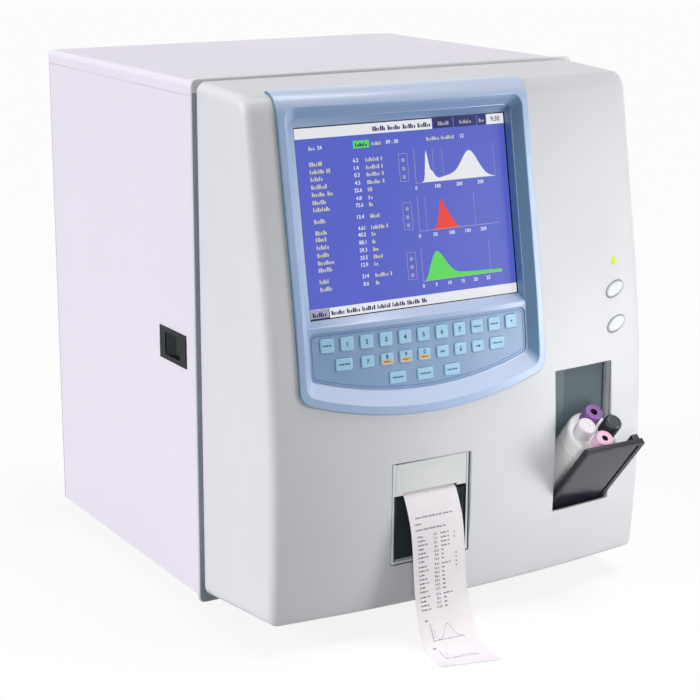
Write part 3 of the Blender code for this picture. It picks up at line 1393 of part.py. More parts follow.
def add_carriage():
    dark = finish("door_dark", (0.06, 0.04, 0.055), 0.3)
    smoke = finish("window_smoke", (0.12, 0.10, 0.11), 0.12, 0.0, 0.55)
    pivot = (OPENING_CENTRE_X, PIVOT_Y, PIVOT_Z)
    hinge = bpy.data.objects.new("door_pivot", None)
    bpy.context.scene.collection.objects.link(hinge)
    hinge.parent = bpy.data.objects["assembly"]
    hinge.location = pivot
    hinge.rotation_euler.x = DOOR_OPEN_ANGLE

    def shut(y, z):
        """The case frame's y and z, seen from the pivot with the carriage shut."""
        return y - PIVOT_Y, z - PIVOT_Z

    half = DOOR_HALF_WIDTH
    front, bottom = shut(DOOR_FRONT, DOOR_BOTTOM)
    rear, top = shut(DOOR_FRONT + DOOR_THICKNESS, DOOR_TOP)
    plane = axes_at((0, 0, 0), X, Z, Y)
    leaf = bmesh.new()
    outline = round_rectangle(-half, half, bottom, top, DOOR_CORNER, 1)
    stack(leaf, plane, [(outline, front), (outline, rear)])
    door = make("sample_door", leaf, dark, parent=hinge)

    inner = half - DOOR_SIDE_BAR
    low, high = bottom + DOOR_END_BAR, top - DOOR_END_BAR
    light = bmesh.new()
    box(light, (-inner, front - OVERRUN, low), (inner, rear + FIT, high))
    combine(door, guide("door_light", light, parent=hinge))
    rebate = bmesh.new()
    lap = PANE_LAP + FIT
    pane_rear = front + PANE_SETBACK + PANE_THICKNESS
    box(
        rebate,
        (-inner - lap, front - OVERRUN, low - lap),
        (inner + lap, pane_rear + FIT, high + lap),
    )
    combine(door, guide("door_rebate", rebate, parent=hinge))
    pane = bmesh.new()
    lap = PANE_LAP
    box(
        pane,
        (-inner - lap, front + PANE_SETBACK, low - lap),
        (inner + lap, pane_rear, high + lap),
    )
    make("door_window", pane, smoke, parent=hinge)

    arms = bmesh.new()
    arm_bottom, arm_top = shut(0, ARM_BOTTOM)[1], shut(0, ARM_TOP)[1]
    for side in (-1, 1):
        ends = sorted((side * half, side * (half - ARM_THICKNESS)))
        profile = [(rear - FIT, arm_bottom), (0, -PIVOT_BOSS_RADIUS)]
        for k in range(1, 6):
            angle = -pi / 2 + pi * k / 6
            profile.append((PIVOT_BOSS_RADIUS * cos(angle), PIVOT_BOSS_RADIUS * sin(angle)))
        profile += [(0, PIVOT_BOSS_RADIUS), (rear - FIT, arm_top)]
        stack(arms, axes_at((0, 0, 0), Y, Z, X), [(profile, ends[0]), (profile, ends[1])])
    combine(door, guide("door_arms", arms, parent=hinge), "UNION")
    base = bmesh.new()
    plate_front, plate_low = shut(BASE_PLATE_FRONT, BASE_PLATE_BOTTOM)
    plate_rear = shut(BASE_PLATE_REAR, 0)[0]
    plate_high = plate_low + BASE_PLATE_THICKNESS
    width = half - ARM_THICKNESS / 2
    box(base, (-width, plate_front, plate_low), (width, plate_rear, plate_high))
    combine(door, guide("door_base_plate", base, parent=hinge), "UNION")

    extras = bmesh.new()
    pin_end = LINER_HALF_WIDTH + LINER_WALL - PIVOT_PIN_END_GAP
    for side in (-1, 1):
        ends = sorted((side * (half - ARM_THICKNESS / 2), side * pin_end))
        ring = circle(PIVOT_PIN_RADIUS, 16)
        stack(extras, axes_at((0, 0, 0), Y, Z, X), [(ring, ends[0]), (ring, ends[1])])
    latch_right = half - LATCH_INSET
    latch_top = top - LATCH_INSET
    box(
        extras,
        (latch_right - LATCH_WIDTH, rear - FIT, latch_top - LATCH_HEIGHT),
        (latch_right, rear + LATCH_DEPTH, latch_top),
    )
    combine(door, guide("door_pins_and_latch", extras, parent=hinge), "UNION")
    bore = bmesh.new()
    axis_y = shut(ADAPTER_Y, 0)[0]
    ring = circle(ADAPTER_SPIGOT_RADIUS + PIN_CLEARANCE, 16)
    place = axes_at((0, axis_y, plate_low), X, Y, Z)
    thick = BASE_PLATE_THICKNESS
    stack(bore, place, [(ring, -thick), (ring, 2 * thick)])
    combine(door, guide("spigot_hole", bore, parent=hinge))
    add_adapter(hinge, (0, axis_y, plate_high))


def tube_places():
    """Back, right, front and left places on the adapter, about its axis."""
    places = []
    for k in range(4):
        angle = pi / 2 + TUBE_CIRCLE_TURN - k * pi / 2
        places.append((TUBE_CIRCLE_RADIUS * cos(angle), TUBE_CIRCLE_RADIUS * sin(angle)))
    return places


def add_adapter(hinge, foot):
    """The turning rack; heights are measured from the top of the base plate."""
    white = finish("adapter_white", (0.82, 0.82, 0.84), 0.4)
    plate_high = BASE_PLATE_BOTTOM + BASE_PLATE_THICKNESS
    top = ADAPTER_TOP - plate_high
    radius, spigot = ADAPTER_RADIUS, ADAPTER_SPIGOT_RADIUS
    place = axes_at(foot, X, Y, Z)
    layers = [
        (circle(spigot, 36), FIT - BASE_PLATE_THICKNESS),
        (circle(spigot, 36), FIT),
        (circle(radius, 36), FIT),
        (circle(radius, 36), top - ADAPTER_SHOULDER),
    ]
    for k in range(1, 4):
        turn = pi / 2 * k / 3
        inset = ADAPTER_SHOULDER * (1 - cos(turn))
        layers.append((circle(radius - inset, 36), top - ADAPTER_SHOULDER * (1 - sin(turn))))
    rack = bmesh.new()
    stack(rack, place, layers)
    adapter = make("tube_adapter", rack, white, foot, hinge)
    bores = bmesh.new()
    ring = circle(TUBE_RADIUS + FIT, 16)
    for x, y in tube_places():
        spot = axes_at(Vector(foot) + Vector((x, y, 0)), X, Y, Z)
        stack(bores, spot, [(ring, top - TUBE_BORE_DEPTH), (ring, top + OVERRUN)])
    combine(adapter, guide("tube_bores", bores, foot, hinge))

    wells = {
        "purple": (PURPLE_TOP, PURPLE_WELL_RADIUS, PURPLE_WELL_DEPTH),
        "black": (BLACK_TOP, STOPPER_WELL_RADIUS, STOPPER_WELL_DEPTH / 3),
        "pink": (PINK_TOP, STOPPER_WELL_RADIUS, STOPPER_WELL_DEPTH),
        "white": (WHITE_TOP, STOPPER_WELL_RADIUS, STOPPER_WELL_DEPTH / 6),
    }
    colours = {
        "purple": (0.20, 0.08, 0.30),
        "black": (0.02, 0.02, 0.03),
        "pink": (0.65, 0.18, 0.42),
        "white": (0.80, 0.80, 0.84),
    }
    low, cap_low = top - TUBE_BORE_DEPTH + FIT, top + FIT
    for (colour, (cap_top, well, depth)), (x, y) in zip(wells.items(), tube_places()):
        high = cap_top - plate_high
        cut = CAP_CHAMFER
        layers = [
            (circle(TUBE_RADIUS / 2, 16), low),
            (circle(TUBE_RADIUS, 16), low + TUBE_RADIUS / 2),
            (circle(TUBE_RADIUS, 16), cap_low),
            (circle(CAP_RADIUS, 16), cap_low),
            (circle(CAP_RADIUS, 16), high - cut),
            (circle(CAP_RADIUS - cut, 16), high),
            (circle(well, 16), high),
            (circle(well, 16), high - depth),
        ]
        spot = Vector(foot) + Vector((x, y, 0))
        tube = bmesh.new()
        stack(tube, axes_at(spot, X, Y, Z), layers)
        shade = finish(colour + "_cap", colours[colour], 0.4)
        make("sample_tube_" + colour, tube, shade, spot, hinge)


# Power switch
def add_switch():
    black = finish("switch_black", (0.02, 0.02, 0.022), 0.3)
    outward = axes_at((-HALF_WIDTH, SWITCH_Y, SWITCH_Z), Y, Z, -X)
    half, tall = SWITCH_HALF_LENGTH, SWITCH_HALF_HEIGHT
    inset, bevel = SWITCH_BODY_INSET, SWITCH_BEVEL

    def shape(shrink):
        return rectangle(shrink - half, half - shrink, shrink - tall, tall - shrink)

    shell = bmesh.new()
    layers = [
        (shape(bevel), SWITCH_PROUD),
        (shape(0), SWITCH_PROUD - bevel / 2),
        (shape(0), FIT),
        (shape(inset), FIT),
        (shape(inset), -SWITCH_BODY_DEPTH),
    ]
    stack(shell, outward, layers)
    bezel = make("power_switch_bezel", shell, black)
    well = bmesh.new()
    side, high = ROCKER_RADIUS + ROCKER_GAP, ROCKER_HALF_HEIGHT + FIT
    mouth = rectangle(-side, side, -high, high)
    stack(well, outward, [(mouth, OVERRUN), (mouth, SWITCH_FLOOR - SWITCH_BODY_DEPTH)])
    combine(bezel, guide("switch_well", well))
    pins = bmesh.new()
    axis = (-HALF_WIDTH + ROCKER_AXIS_DEPTH, SWITCH_Y, SWITCH_Z)
    upright = axes_at(axis, Y, -X, Z)
    reach = ROCKER_HALF_HEIGHT + ROCKER_PIN_LENGTH
    ring = circle(ROCKER_PIN_RADIUS + PIN_CLEARANCE, 12)
    stack(pins, upright, [(ring, -reach - FIT), (ring, reach + FIT)])
    combine(bezel, guide("switch_pin_holes", pins))

    side = []
    for k in range(ROCKER_STEPS + 1):
        angle = ROCKER_HEEL_ANGLE + (ROCKER_END_ANGLE - ROCKER_HEEL_ANGLE) * k / ROCKER_STEPS
        side.append((ROCKER_RADIUS * cos(angle), ROCKER_RADIUS * sin(angle)))
    profile = side + [(0, ROCKER_HOLLOW)] + [(-a, b) for a, b in reversed(side)]
    about = axes_at((0, 0, 0), Y, -X, Z)
    paddle = bmesh.new()
    tall = ROCKER_HALF_HEIGHT
    stack(paddle, about, [(profile, -tall), (profile, tall)])
    bmesh.ops.translate(paddle, verts=paddle.verts, vec=axis)
    rocker = make("power_switch_rocker", paddle, black, axis)
    rod = bmesh.new()
    ring = circle(ROCKER_PIN_RADIUS, 12)
    stack(rod, upright, [(ring, -reach), (ring, reach)])
    pin = guide("rocker_pins", rod, axis)
    combine(rocker, pin, "UNION")
    rocker.rotation_euler.z = pin.rotation_euler.z = ROCKER_TILT


# Rear
def nipple_places():
    middle = (MANIFOLD_LEFT + MANIFOLD_RIGHT) / 2
    z = (MANIFOLD_BOTTOM + MANIFOLD_TOP) / 2
    return [(middle + NIPPLE_PITCH * (k - (NIPPLES - 1) / 2), z) for k in range(NIPPLES)]


def port_shape(grow):
    half, tall = PORT_HALF_WIDTH + grow, PORT_HALF_HEIGHT + grow
    return cut_corners(-half, half, -tall, tall, PORT_CUT)


def add_rear_panel():
    sheet_finish = finish("rear_paint", (0.78, 0.77, 0.79), 0.5)
    plane = axes_at((0, 0, 0), X, Z, Y)
    outline = round_rectangle(-HALF_WIDTH, HALF_WIDTH, 0, CASE_HEIGHT, COVER_CORNER)
    square_foot = rectangle(-HALF_WIDTH, HALF_WIDTH, 0, 2 * COVER_CORNER)
    front = CASE_DEPTH - SHEET
    sheet = bmesh.new()
    stack(sheet, plane, [(outline, front), (outline, CASE_DEPTH)])
    panel = make("rear_panel", sheet, sheet_finish)
    foot = bmesh.new()
    stack(foot, plane, [(square_foot, front), (square_foot, CASE_DEPTH)])
    combine(panel, guide("rear_foot", foot), "UNION")

    holes = bmesh.new()
    pitch = 2 * FAN_BORE_RADIUS / GRILLE_SLOTS
    for k in range(GRILLE_SLOTS):
        rise = pitch * (k - (GRILLE_SLOTS - 1) / 2)
        reach = sqrt(FAN_BORE_RADIUS**2 - rise**2) - GRILLE_SLOT_HEIGHT / 2
        slot_low, slot_high = rise - GRILLE_SLOT_HEIGHT / 2, rise + GRILLE_SLOT_HEIGHT / 2
        slot = rectangle(FAN_X - reach, FAN_X + reach, FAN_Z + slot_low, FAN_Z + slot_high)
        through_panel(holes, slot)
    half, tall = INLET_BODY_HALF_WIDTH + FIT, INLET_BODY_HALF_HEIGHT + FIT
    through_panel(holes, rectangle(INLET_X - half, INLET_X + half, INLET_Z - tall, INLET_Z + tall))
    for z in (PORT_LOWER_Z, PORT_UPPER_Z):
        through_panel(holes, [(PORT_X + a, z + b) for a, b in port_shape(FIT)])
    ring = circle(NIPPLE_RADIUS + NIPPLE_BARB + NIPPLE_HOLE_CLEARANCE, 12)
    for x, z in nipple_places():
        through_panel(holes, [(x + a, z + b) for a, b in ring])
    combine(panel, guide("rear_holes", holes))


def through_panel(mesh, outline):
    plane = axes_at((0, CASE_DEPTH, 0), X, Z, Y)
    stack(mesh, plane, [(outline, -2 * SHEET), (outline, SHEET)])


def add_electronics():
    zinc = finish("zinc_plate", (0.60, 0.61, 0.62), 0.35, 0.9)
    low, wall = SHEET + FIT, ELECTRONICS_WALL
    case = bmesh.new()
    box(
        case,
        (ELECTRONICS_LEFT, ELECTRONICS_FRONT, low),
        (ELECTRONICS_RIGHT, ELECTRONICS_REAR, ELECTRONICS_TOP),
    )
    electronics = make("electronics_box", case, zinc)
    room = bmesh.new()
    box(
        room,
        (ELECTRONICS_LEFT + wall, ELECTRONICS_FRONT - OVERRUN, low + wall),
        (ELECTRONICS_RIGHT - wall, ELECTRONICS_REAR - wall, ELECTRONICS_TOP - wall),
    )
    combine(electronics, guide("electronics_room", room))

    place = axes_at((FAN_X, 0, FAN_Z), X, Z, Y)
    spider_rear = FAN_SHROUD_FRONT + FAN_SPIDER_THICKNESS
    shroud = bmesh.new()
    ring = circle(FAN_BORE_RADIUS + FAN_SHROUD_WALL, 28)
    stack(shroud, place, [(ring, FAN_SHROUD_FRONT), (ring, ELECTRONICS_REAR - wall / 2)])
    combine(electronics, guide("fan_shroud", shroud), "UNION")
    bore = bmesh.new()
    ring = circle(FAN_BORE_RADIUS, 28)
    stack(bore, place, [(ring, spider_rear), (ring, ELECTRONICS_REAR + OVERRUN)])
    combine(electronics, guide("fan_bore", bore))
    windows = bmesh.new()
    for k in range(4):
        sector = fan_sector(k)
        reach = FAN_SPIDER_THICKNESS
        stack(windows, place, [(sector, FAN_SHROUD_FRONT - reach), (sector, spider_rear + reach)])
    combine(electronics, guide("spider_windows", windows))
    extras = bmesh.new()
    ring = circle(FAN_PIN_RADIUS, 12)
    stack(extras, place, [(ring, spider_rear - FIT), (ring, spider_rear + FAN_PIN_LENGTH)])
    for z in (PORT_LOWER_Z, PORT_UPPER_Z):
        port = axes_at((PORT_X, 0, z), X, Z, Y)
        shell = port_shape(0)
        stack(extras, port, [(shell, ELECTRONICS_REAR - wall / 2), (shell, CASE_DEPTH + PORT_PROUD)])
    combine(electronics, guide("pin_and_ports", extras), "UNION")


def fan_sector(k):
    """One of the four windows between the spider's bars."""
    half_bar = FAN_SPIDER_BAR / 2
    outline = []
    for radius, order in ((FAN_BORE_RADIUS - FIT, 1), (FAN_DISC_RADIUS, -1)):
        start = atan2(half_bar, sqrt(radius**2 - half_bar**2))
        sweep = pi / 2 - 2 * start
        arc = [start + sweep * i / 3 for i in range(4)][::order]
        outline += [(radius * cos(a + k * pi / 2), radius * sin(a + k * pi / 2)) for a in arc]
    return outline


def add_fan():
    plastic = finish("fan_black", (0.03, 0.03, 0.035), 0.5)
    spider_rear = FAN_SHROUD_FRONT + FAN_SPIDER_THICKNESS
    start = spider_rear + 2 * FIT
    place = axes_at((FAN_X, 0, FAN_Z), X, Z, Y)
    hub = bmesh.new()
    ring = circle(FAN_HUB_RADIUS, 21)
    stack(hub, place, [(ring, start), (ring, start + FAN_HUB_LENGTH)])
    rotor = make("fan_rotor", hub, plastic, (FAN_X, start, FAN_Z))
    blades = bmesh.new()
    centre_y = start + FAN_HUB_LENGTH / 2
    tip = FAN_BORE_RADIUS - FAN_TIP_GAP
    root = FAN_HUB_RADIUS * cos(pi / FAN_BLADES) - FAN_BLADE_THICKNESS
    for k in range(FAN_BLADES):
        angle = 2 * pi * k / FAN_BLADES
        outward = X * cos(angle) + Z * sin(angle)
        around = -X * sin(angle) + Z * cos(angle)
        rings = []
        for radius, pitch, chord in (
            (root, FAN_ROOT_PITCH, FAN_BLADE_ROOT_CHORD),
            ((root + tip) / 2, (FAN_ROOT_PITCH + FAN_TIP_PITCH) / 2, FAN_BLADE_TIP_CHORD),
            (tip * FAN_TIP_SHARE, FAN_TIP_PITCH, FAN_BLADE_TIP_CHORD),
        ):
            along = around * cos(pitch) + Y * sin(pitch)
            across = Y * cos(pitch) - around * sin(pitch)
            middle = Vector((FAN_X, centre_y, FAN_Z)) + outward * radius
            half, thin = along * (chord / 2), across * (FAN_BLADE_THICKNESS / 2)
            rings.append([middle - half - thin, middle + half - thin])
            rings[-1] += [middle + half + thin, middle - half + thin]
        loft(blades, rings)
    combine(rotor, guide("fan_blades", blades), "UNION")
    socket = bmesh.new()
    ring = circle(FAN_PIN_RADIUS + PIN_CLEARANCE, 12)
    stack(socket, place, [(ring, start - OVERRUN), (ring, spider_rear + FAN_PIN_LENGTH + FIT)])
    combine(rotor, guide("fan_socket", socket))


def add_inlet():
    black = finish("inlet_black", (0.03, 0.03, 0.03), 0.45)
    place = axes_at((INLET_X, CASE_DEPTH + FIT, INLET_Z), X, Z, Y)
    flange_x, flange_z = INLET_FLANGE_HALF_WIDTH, INLET_FLANGE_HALF_HEIGHT
    body_x, body_z = INLET_BODY_HALF_WIDTH, INLET_BODY_HALF_HEIGHT
    flange = cut_corners(-flange_x, flange_x, -flange_z, flange_z, INLET_CAVITY_CUT)
    body = cut_corners(-body_x, body_x, -body_z, body_z, FIT)
    shell = bmesh.new()
    layers = [
        (body, -INLET_BODY_DEPTH),
        (body, 0),
        (flange, 0),
        (flange, INLET_FLANGE_THICKNESS),
    ]
    stack(shell, place, layers)
    inlet = make("power_inlet", shell, black)
    half, tall, cut = INLET_CAVITY_HALF_WIDTH, INLET_CAVITY_HALF_HEIGHT, INLET_CAVITY_CUT
    mouth = [(-half, -tall), (half, -tall), (half, tall - cut), (half - cut, tall)]
    mouth += [(cut - half, tall), (-half, tall - cut)]
    floor = INLET_FLANGE_THICKNESS - INLET_CAVITY_DEPTH
    cavity = bmesh.new()
    stack(cavity, place, [(mouth, floor), (mouth, OVERRUN)])
    combine(inlet, guide("inlet_cavity", cavity))
    pins = bmesh.new()
    w, h = INLET_PIN_WIDTH / 2, INLET_PIN_HEIGHT / 2
    spread, low = INLET_PIN_SPREAD, INLET_PIN_Z
    for x, z in ((-spread, low), (spread, low), (0, INLET_EARTH_Z)):
        pin = rectangle(x - w, x + w, z - h, z + h)
        tip = INLET_FLANGE_THICKNESS - INLET_PIN_SETBACK
        stack(pins, place, [(pin, floor - INLET_PIN_SETBACK), (pin, tip)])
    combine(inlet, guide("inlet_pins", pins), "UNION")


def add_fluidics():
    grey = finish("fluidics_grey", (0.62, 0.64, 0.66), 0.5)
    low = SHEET + FIT
    front, rear = FLUIDICS_PLATE_Y, FLUIDICS_PLATE_Y + FLUIDICS_PLATE_THICKNESS
    left, right = FLUIDICS_LEFT, FLUIDICS_RIGHT
    plate = bmesh.new()
    box(plate, (left, front, low), (right, rear, FLUIDICS_TOP))
    module = make("fluidics_module", plate, grey)

    lap = SYRINGE_LAP
    parts = bmesh.new()
    box(parts, (left, front - FLUIDICS_FOOT_DEPTH, low), (right, front + lap, low + 2 * SHEET))
    for x, radius in ((SYRINGE_LARGE_X, SYRINGE_LARGE_RADIUS), (SYRINGE_SMALL_X, SYRINGE_SMALL_RADIUS)):
        place = axes_at((x, front + lap - radius, 0), X, Y, Z)
        ring, cap = circle(radius, 20), circle(radius / 2, 20)
        neck = SYRINGE_TOP + radius
        layers = [(cap, SYRINGE_BOTTOM - radius), (cap, SYRINGE_BOTTOM), (ring, SYRINGE_BOTTOM)]
        layers += [(ring, SYRINGE_TOP), (cap, SYRINGE_TOP), (cap, neck)]
        stack(parts, place, layers)
    place = axes_at((PUMP_X, front + lap, PUMP_Z), X, Z, -Y)
    ring, nose = circle(PUMP_RADIUS, 20), circle(PUMP_RADIUS / 2, 20)
    stack(parts, place, [(ring, 0), (ring, PUMP_LENGTH), (nose, PUMP_LENGTH + PUMP_RADIUS / 2)])
    middle = (left + right) / 2
    for k in range(VALVES):
        x = middle + VALVE_PITCH * (k - (VALVES - 1) / 2)
        half = VALVE_WIDTH / 2
        box(
            parts,
            (x - half, front - VALVE_DEPTH, VALVE_BOTTOM),
            (x + half, front + lap, VALVE_BOTTOM + VALVE_HEIGHT),
        )
    box(
        parts,
        (MANIFOLD_LEFT, rear - lap, MANIFOLD_BOTTOM),
        (MANIFOLD_RIGHT, ELECTRONICS_REAR, MANIFOLD_TOP),
    )
    combine(module, guide("fluidics_parts", parts), "UNION")
    nipples = bmesh.new()
    thin, barb, bore = NIPPLE_RADIUS, NIPPLE_RADIUS + NIPPLE_BARB, NIPPLE_BORE
    reach = NIPPLE_LENGTH
    for x, z in nipple_places():
        place = axes_at((x, ELECTRONICS_REAR, z), X, Z, Y)
        layers = [
            (circle(thin, 12), -lap),
            (circle(thin, 12), reach * BARB_START_SHARE),
            (circle(barb, 12), reach * BARB_START_SHARE),
            (circle(thin * BARB_TIP_SHARE, 12), reach),
            (circle(bore, 12), reach),
            (circle(bore, 12), reach * BARB_START_SHARE),
        ]
        stack(nipples, place, layers)
    combine(module, guide("hose_nipples", nipples), "UNION")


def front_most():
    """The y of the paper's leading corner."""
    turned = PAPER_WIDTH / 2 * -sin(PAPER_TURN)
    return PAPER_SLOT_Y - PAPER_REACH - turned


def build():
    clear_scene()
    assembly = bpy.data.objects.new("assembly", None)
    bpy.context.scene.collection.objects.link(assembly)
    rear_most = ELECTRONICS_REAR + NIPPLE_LENGTH
    assembly.location = (0, -(front_most() + rear_most) / 2, FOOT_HEIGHT)
    add_case()
    add_chassis()
    add_frame()
    add_moulding()
    add_buttons()
    add_screen()
    add_screen_module()
    add_keys()
    add_recorder()
    add_liner()
    add_carriage()
    add_probe()
    add_switch()
    add_rear_panel()
    add_electronics()
    add_fan()
    add_inlet()
    add_fluidics()


build()
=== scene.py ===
# Bench blood analyzer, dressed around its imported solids. Lengths are metres.
import json
from contextlib import contextmanager

import bmesh
import bpy
import numpy as np
from mathutils import Matrix, Vector

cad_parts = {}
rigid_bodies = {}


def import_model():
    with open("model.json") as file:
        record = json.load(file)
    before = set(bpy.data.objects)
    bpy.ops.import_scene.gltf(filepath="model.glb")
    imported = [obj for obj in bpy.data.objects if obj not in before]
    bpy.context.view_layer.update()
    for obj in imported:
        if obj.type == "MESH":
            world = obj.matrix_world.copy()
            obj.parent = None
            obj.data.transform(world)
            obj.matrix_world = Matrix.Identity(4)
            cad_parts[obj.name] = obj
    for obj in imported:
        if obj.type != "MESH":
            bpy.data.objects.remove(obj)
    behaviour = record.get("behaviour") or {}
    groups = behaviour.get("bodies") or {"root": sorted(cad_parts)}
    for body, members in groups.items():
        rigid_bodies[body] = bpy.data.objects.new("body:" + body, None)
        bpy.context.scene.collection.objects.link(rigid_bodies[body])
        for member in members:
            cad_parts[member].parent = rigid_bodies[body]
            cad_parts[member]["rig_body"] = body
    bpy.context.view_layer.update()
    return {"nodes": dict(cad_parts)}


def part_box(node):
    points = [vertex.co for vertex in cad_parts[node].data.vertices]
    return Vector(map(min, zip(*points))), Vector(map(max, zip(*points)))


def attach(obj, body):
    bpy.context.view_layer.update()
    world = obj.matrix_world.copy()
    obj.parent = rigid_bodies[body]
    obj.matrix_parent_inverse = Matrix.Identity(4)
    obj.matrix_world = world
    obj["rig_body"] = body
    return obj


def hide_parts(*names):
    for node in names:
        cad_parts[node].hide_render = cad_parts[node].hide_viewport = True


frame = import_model()
print("frame loaded:", len(frame["nodes"]), "nodes")

# How far the front flange reaches behind the seam, the case's height, and its rear face behind the seam
caseSize = {"flangeBack": 0.003, "height": 0.4653, "rear": 0.316}
# The case's own zero: middle of the width, the seam plane, the underside of the case
seat = np.array([
    0.0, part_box("front_frame")[1].y - caseSize["flangeBack"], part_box("top_cover")[1].z - caseSize["height"]])
pole = 0.0002  # Radius of the tiny ring that closes a turned skin at its axis


def spun(points, turn):
    # Flat points turned anticlockwise about zero
    c, s = np.cos(turn), np.sin(turn)
    return points @ np.array([[c, s], [-s, c]])


def lifted(outline, out):
    # Flat points, all given the same height
    return np.column_stack([outline, np.full(len(outline), out)])


def roundOutline(centre, half, corner, along=(12, 12), around=6):
    # Rounded rectangle, anticlockwise: four straight runs and four quarter circles of (x, z) points
    hx, hz = half
    quarter = np.linspace(0, np.pi / 2, around + 1)
    runs = []
    for k, (sx, sz) in enumerate(((1, -1), (1, 1), (-1, 1), (-1, -1))):
        angle = quarter + np.pi / 2 * (k - 1)
        heart = np.array([sx * (hx - corner), sz * (hz - corner)])
        runs.append(heart + corner * np.stack([np.cos(angle), np.sin(angle)], -1))
    points = []
    for k in range(4):
        start, end = runs[k - 1][-1], runs[k][0]
        steps = np.linspace(0, 1, along[k % 2] + 1)[1:-1, None]
        points += [start + (end - start) * steps, runs[k]]
    return np.concatenate(points) + np.array(centre)


def ovalRings(place, steps, halfLength, halfWidth, count=64, turn=0.0):
    # Turned ellipses, each grown by the first number of its step and lifted by the second
    angle = np.linspace(0, 2 * np.pi, count, endpoint=False)
    rings = []
    for grow, out in steps:
        flat = np.stack([(halfLength + grow) * np.cos(angle), (halfWidth + grow) * np.sin(angle)], -1)
        rings.append(place(lifted(spun(flat, turn), out)))
    return np.stack(rings)


def skin(rings, joined=False):
    # Rings (count, around, 3) of closed outlines become one closed skin
    count, around = rings.shape[:2]
    row = np.arange(count if joined else count - 1)[:, None]
    col = np.arange(around)[None, :]
    after, beside = (row + 1) % count, (col + 1) % around
    corners = [row * around + col, row * around + beside, after * around + beside, after * around + col]
    faces = np.stack(corners, -1).reshape(-1, 4).tolist()
    if not joined:
        faces.append(list(range(around))[::-1])
        faces.append(list(range((count - 1) * around, count * around)))
    return rings.reshape(-1, 3), faces


def slabs(boxes, place):
    # Boxes (n, 6) of left, right, low, high, back, front become closed bricks set by a placing rule
    b = np.asarray(boxes, float).reshape(-1, 6)
    pick = [(0, 2, 4), (1, 2, 4), (1, 3, 4), (0, 3, 4), (0, 2, 5), (1, 2, 5), (1, 3, 5), (0, 3, 5)]
    points = np.stack([b[:, p] for p in pick], 1).reshape(-1, 3)
    quads = np.array([(0, 3, 2, 1), (4, 5, 6, 7), (0, 1, 5, 4), (1, 2, 6, 5), (2, 3, 7, 6), (3, 0, 4, 7)])
    faces = (np.arange(len(b))[:, None, None] * 8 + quads).reshape(-1, 4).tolist()
    return place(points), faces


def ribbon(across, low, high, back, front, place):
    # A closed band between two curves low(across) and high(across)
    low, high = np.broadcast_to(low, across.shape), np.broadcast_to(high, across.shape)
    flat = np.stack([across, low, across, high, across, high, across, low], -1).reshape(-1, 4, 2)
    depth = np.broadcast_to(np.array([front, front, back, back]), flat.shape[:2])
    points, faces = skin(np.concatenate([flat, depth[..., None]], -1))
    return place(points), faces


def hump(u, at, wide, tall):
    # A bell curve of a height, its middle at a place
    return tall * np.exp(-((u - at) / wide) ** 2)


def linked(name, data):
    # An object for a mesh, curve, light or camera, linked to the scene
    thing = bpy.data.objects.new(name, data)
    bpy.context.scene.collection.objects.link(thing)
    return thing


@contextmanager
def editing(mesh):
    # A mesh opened for editing, and written back afterwards
    work = bmesh.new()
    work.from_mesh(mesh)
    yield work
    work.to_mesh(mesh)
    work.free()


def settled(thing, *helpers):
    # The mesh that an object's modifiers or curve give; the object and its helpers are removed
    mesh = bpy.data.meshes.new_from_object(thing.evaluated_get(bpy.context.evaluated_depsgraph_get()))
    for spent in (thing, *helpers):
        bpy.data.objects.remove(spent)
    return mesh


def readout(things, label, width=1, kind=float):
    # One number or vector of every vertex, edge, loop or face, as an array
    values = np.zeros(len(things) * width, kind)
    things.foreach_get(label, values)
    return values if width == 1 else values.reshape(-1, width)


def shadeByAngle(mesh, degrees):
    # Smooth up to an angle; broad flat faces stay flat, so that their softened edges don't bend their shading
    mesh.shade_smooth()
    mesh.set_sharp_from_angle(angle=np.radians(degrees))
    ends = readout(mesh.edges, "vertices", 2, np.int32)
    spans = readout(mesh.vertices, "co", 3)[ends]
    length = np.linalg.norm(spans[:, 0] - spans[:, 1], axis=1)
    sides = length[readout(mesh.loops, "edge_index", kind=np.int32)]
    longest = np.maximum.reduceat(sides, readout(mesh.polygons, "loop_start", kind=np.int32))
    area = readout(mesh.polygons, "area")
    mesh.polygons.foreach_set("use_smooth", (area < 2e-4) | (area < 0.005 * longest))


def buildMesh(name, shells, smooth=32.0):
    # Several closed shells (points, faces, finish number) go into one mesh, facing outward
    points, faces, numbers, first = [], [], [], 0
    for shell in shells:
        points.append(shell[0])
        faces += [[first + i for i in face] for face in shell[1]]
        numbers += [shell[2] if len(shell) > 2 else 0] * len(shell[1])
        first += len(shell[0])
    mesh = bpy.data.meshes.new(name)
    mesh.from_pydata((np.concatenate(points) + seat).tolist(), [], faces)
    mesh.polygons.foreach_set("material_index", np.array(numbers, np.int32))
    with editing(mesh) as work:
        bmesh.ops.recalc_face_normals(work, faces=work.faces)
    shadeByAngle(mesh, smooth)
    return mesh


def blank(name, shell):
    # A closed mesh for cutting: its bent faces are split into triangles
    mesh = buildMesh(name, [shell])
    with editing(mesh) as work:
        bmesh.ops.triangulate(work, faces=work.faces)
    return mesh


def carve(mesh, cutters):
    # Cuts other closed meshes out of a mesh, one after another, and returns what is left
    target, tools = linked("blank", mesh), [linked("tool", cutter) for cutter in cutters]
    for k, tool in enumerate(tools):
        cut = target.modifiers.new(f"cut{k}", "BOOLEAN")
        cut.object, cut.operation, cut.solver = tool, "DIFFERENCE", "EXACT"
    return settled(target, *tools)


def newPiece(name, mesh, body, slot, materials, nodes=()):
    # A finished mesh becomes a piece: on a body and in the place of the named solids; its slot is not used
    piece = linked(name, mesh)
    if len(mesh.materials):
        # This also sets the finish number of every face back to zero
        mesh.materials.clear()
    for material in materials:
        mesh.materials.append(material)
    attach(piece, body)
    if nodes:
        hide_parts(*nodes)
    return piece


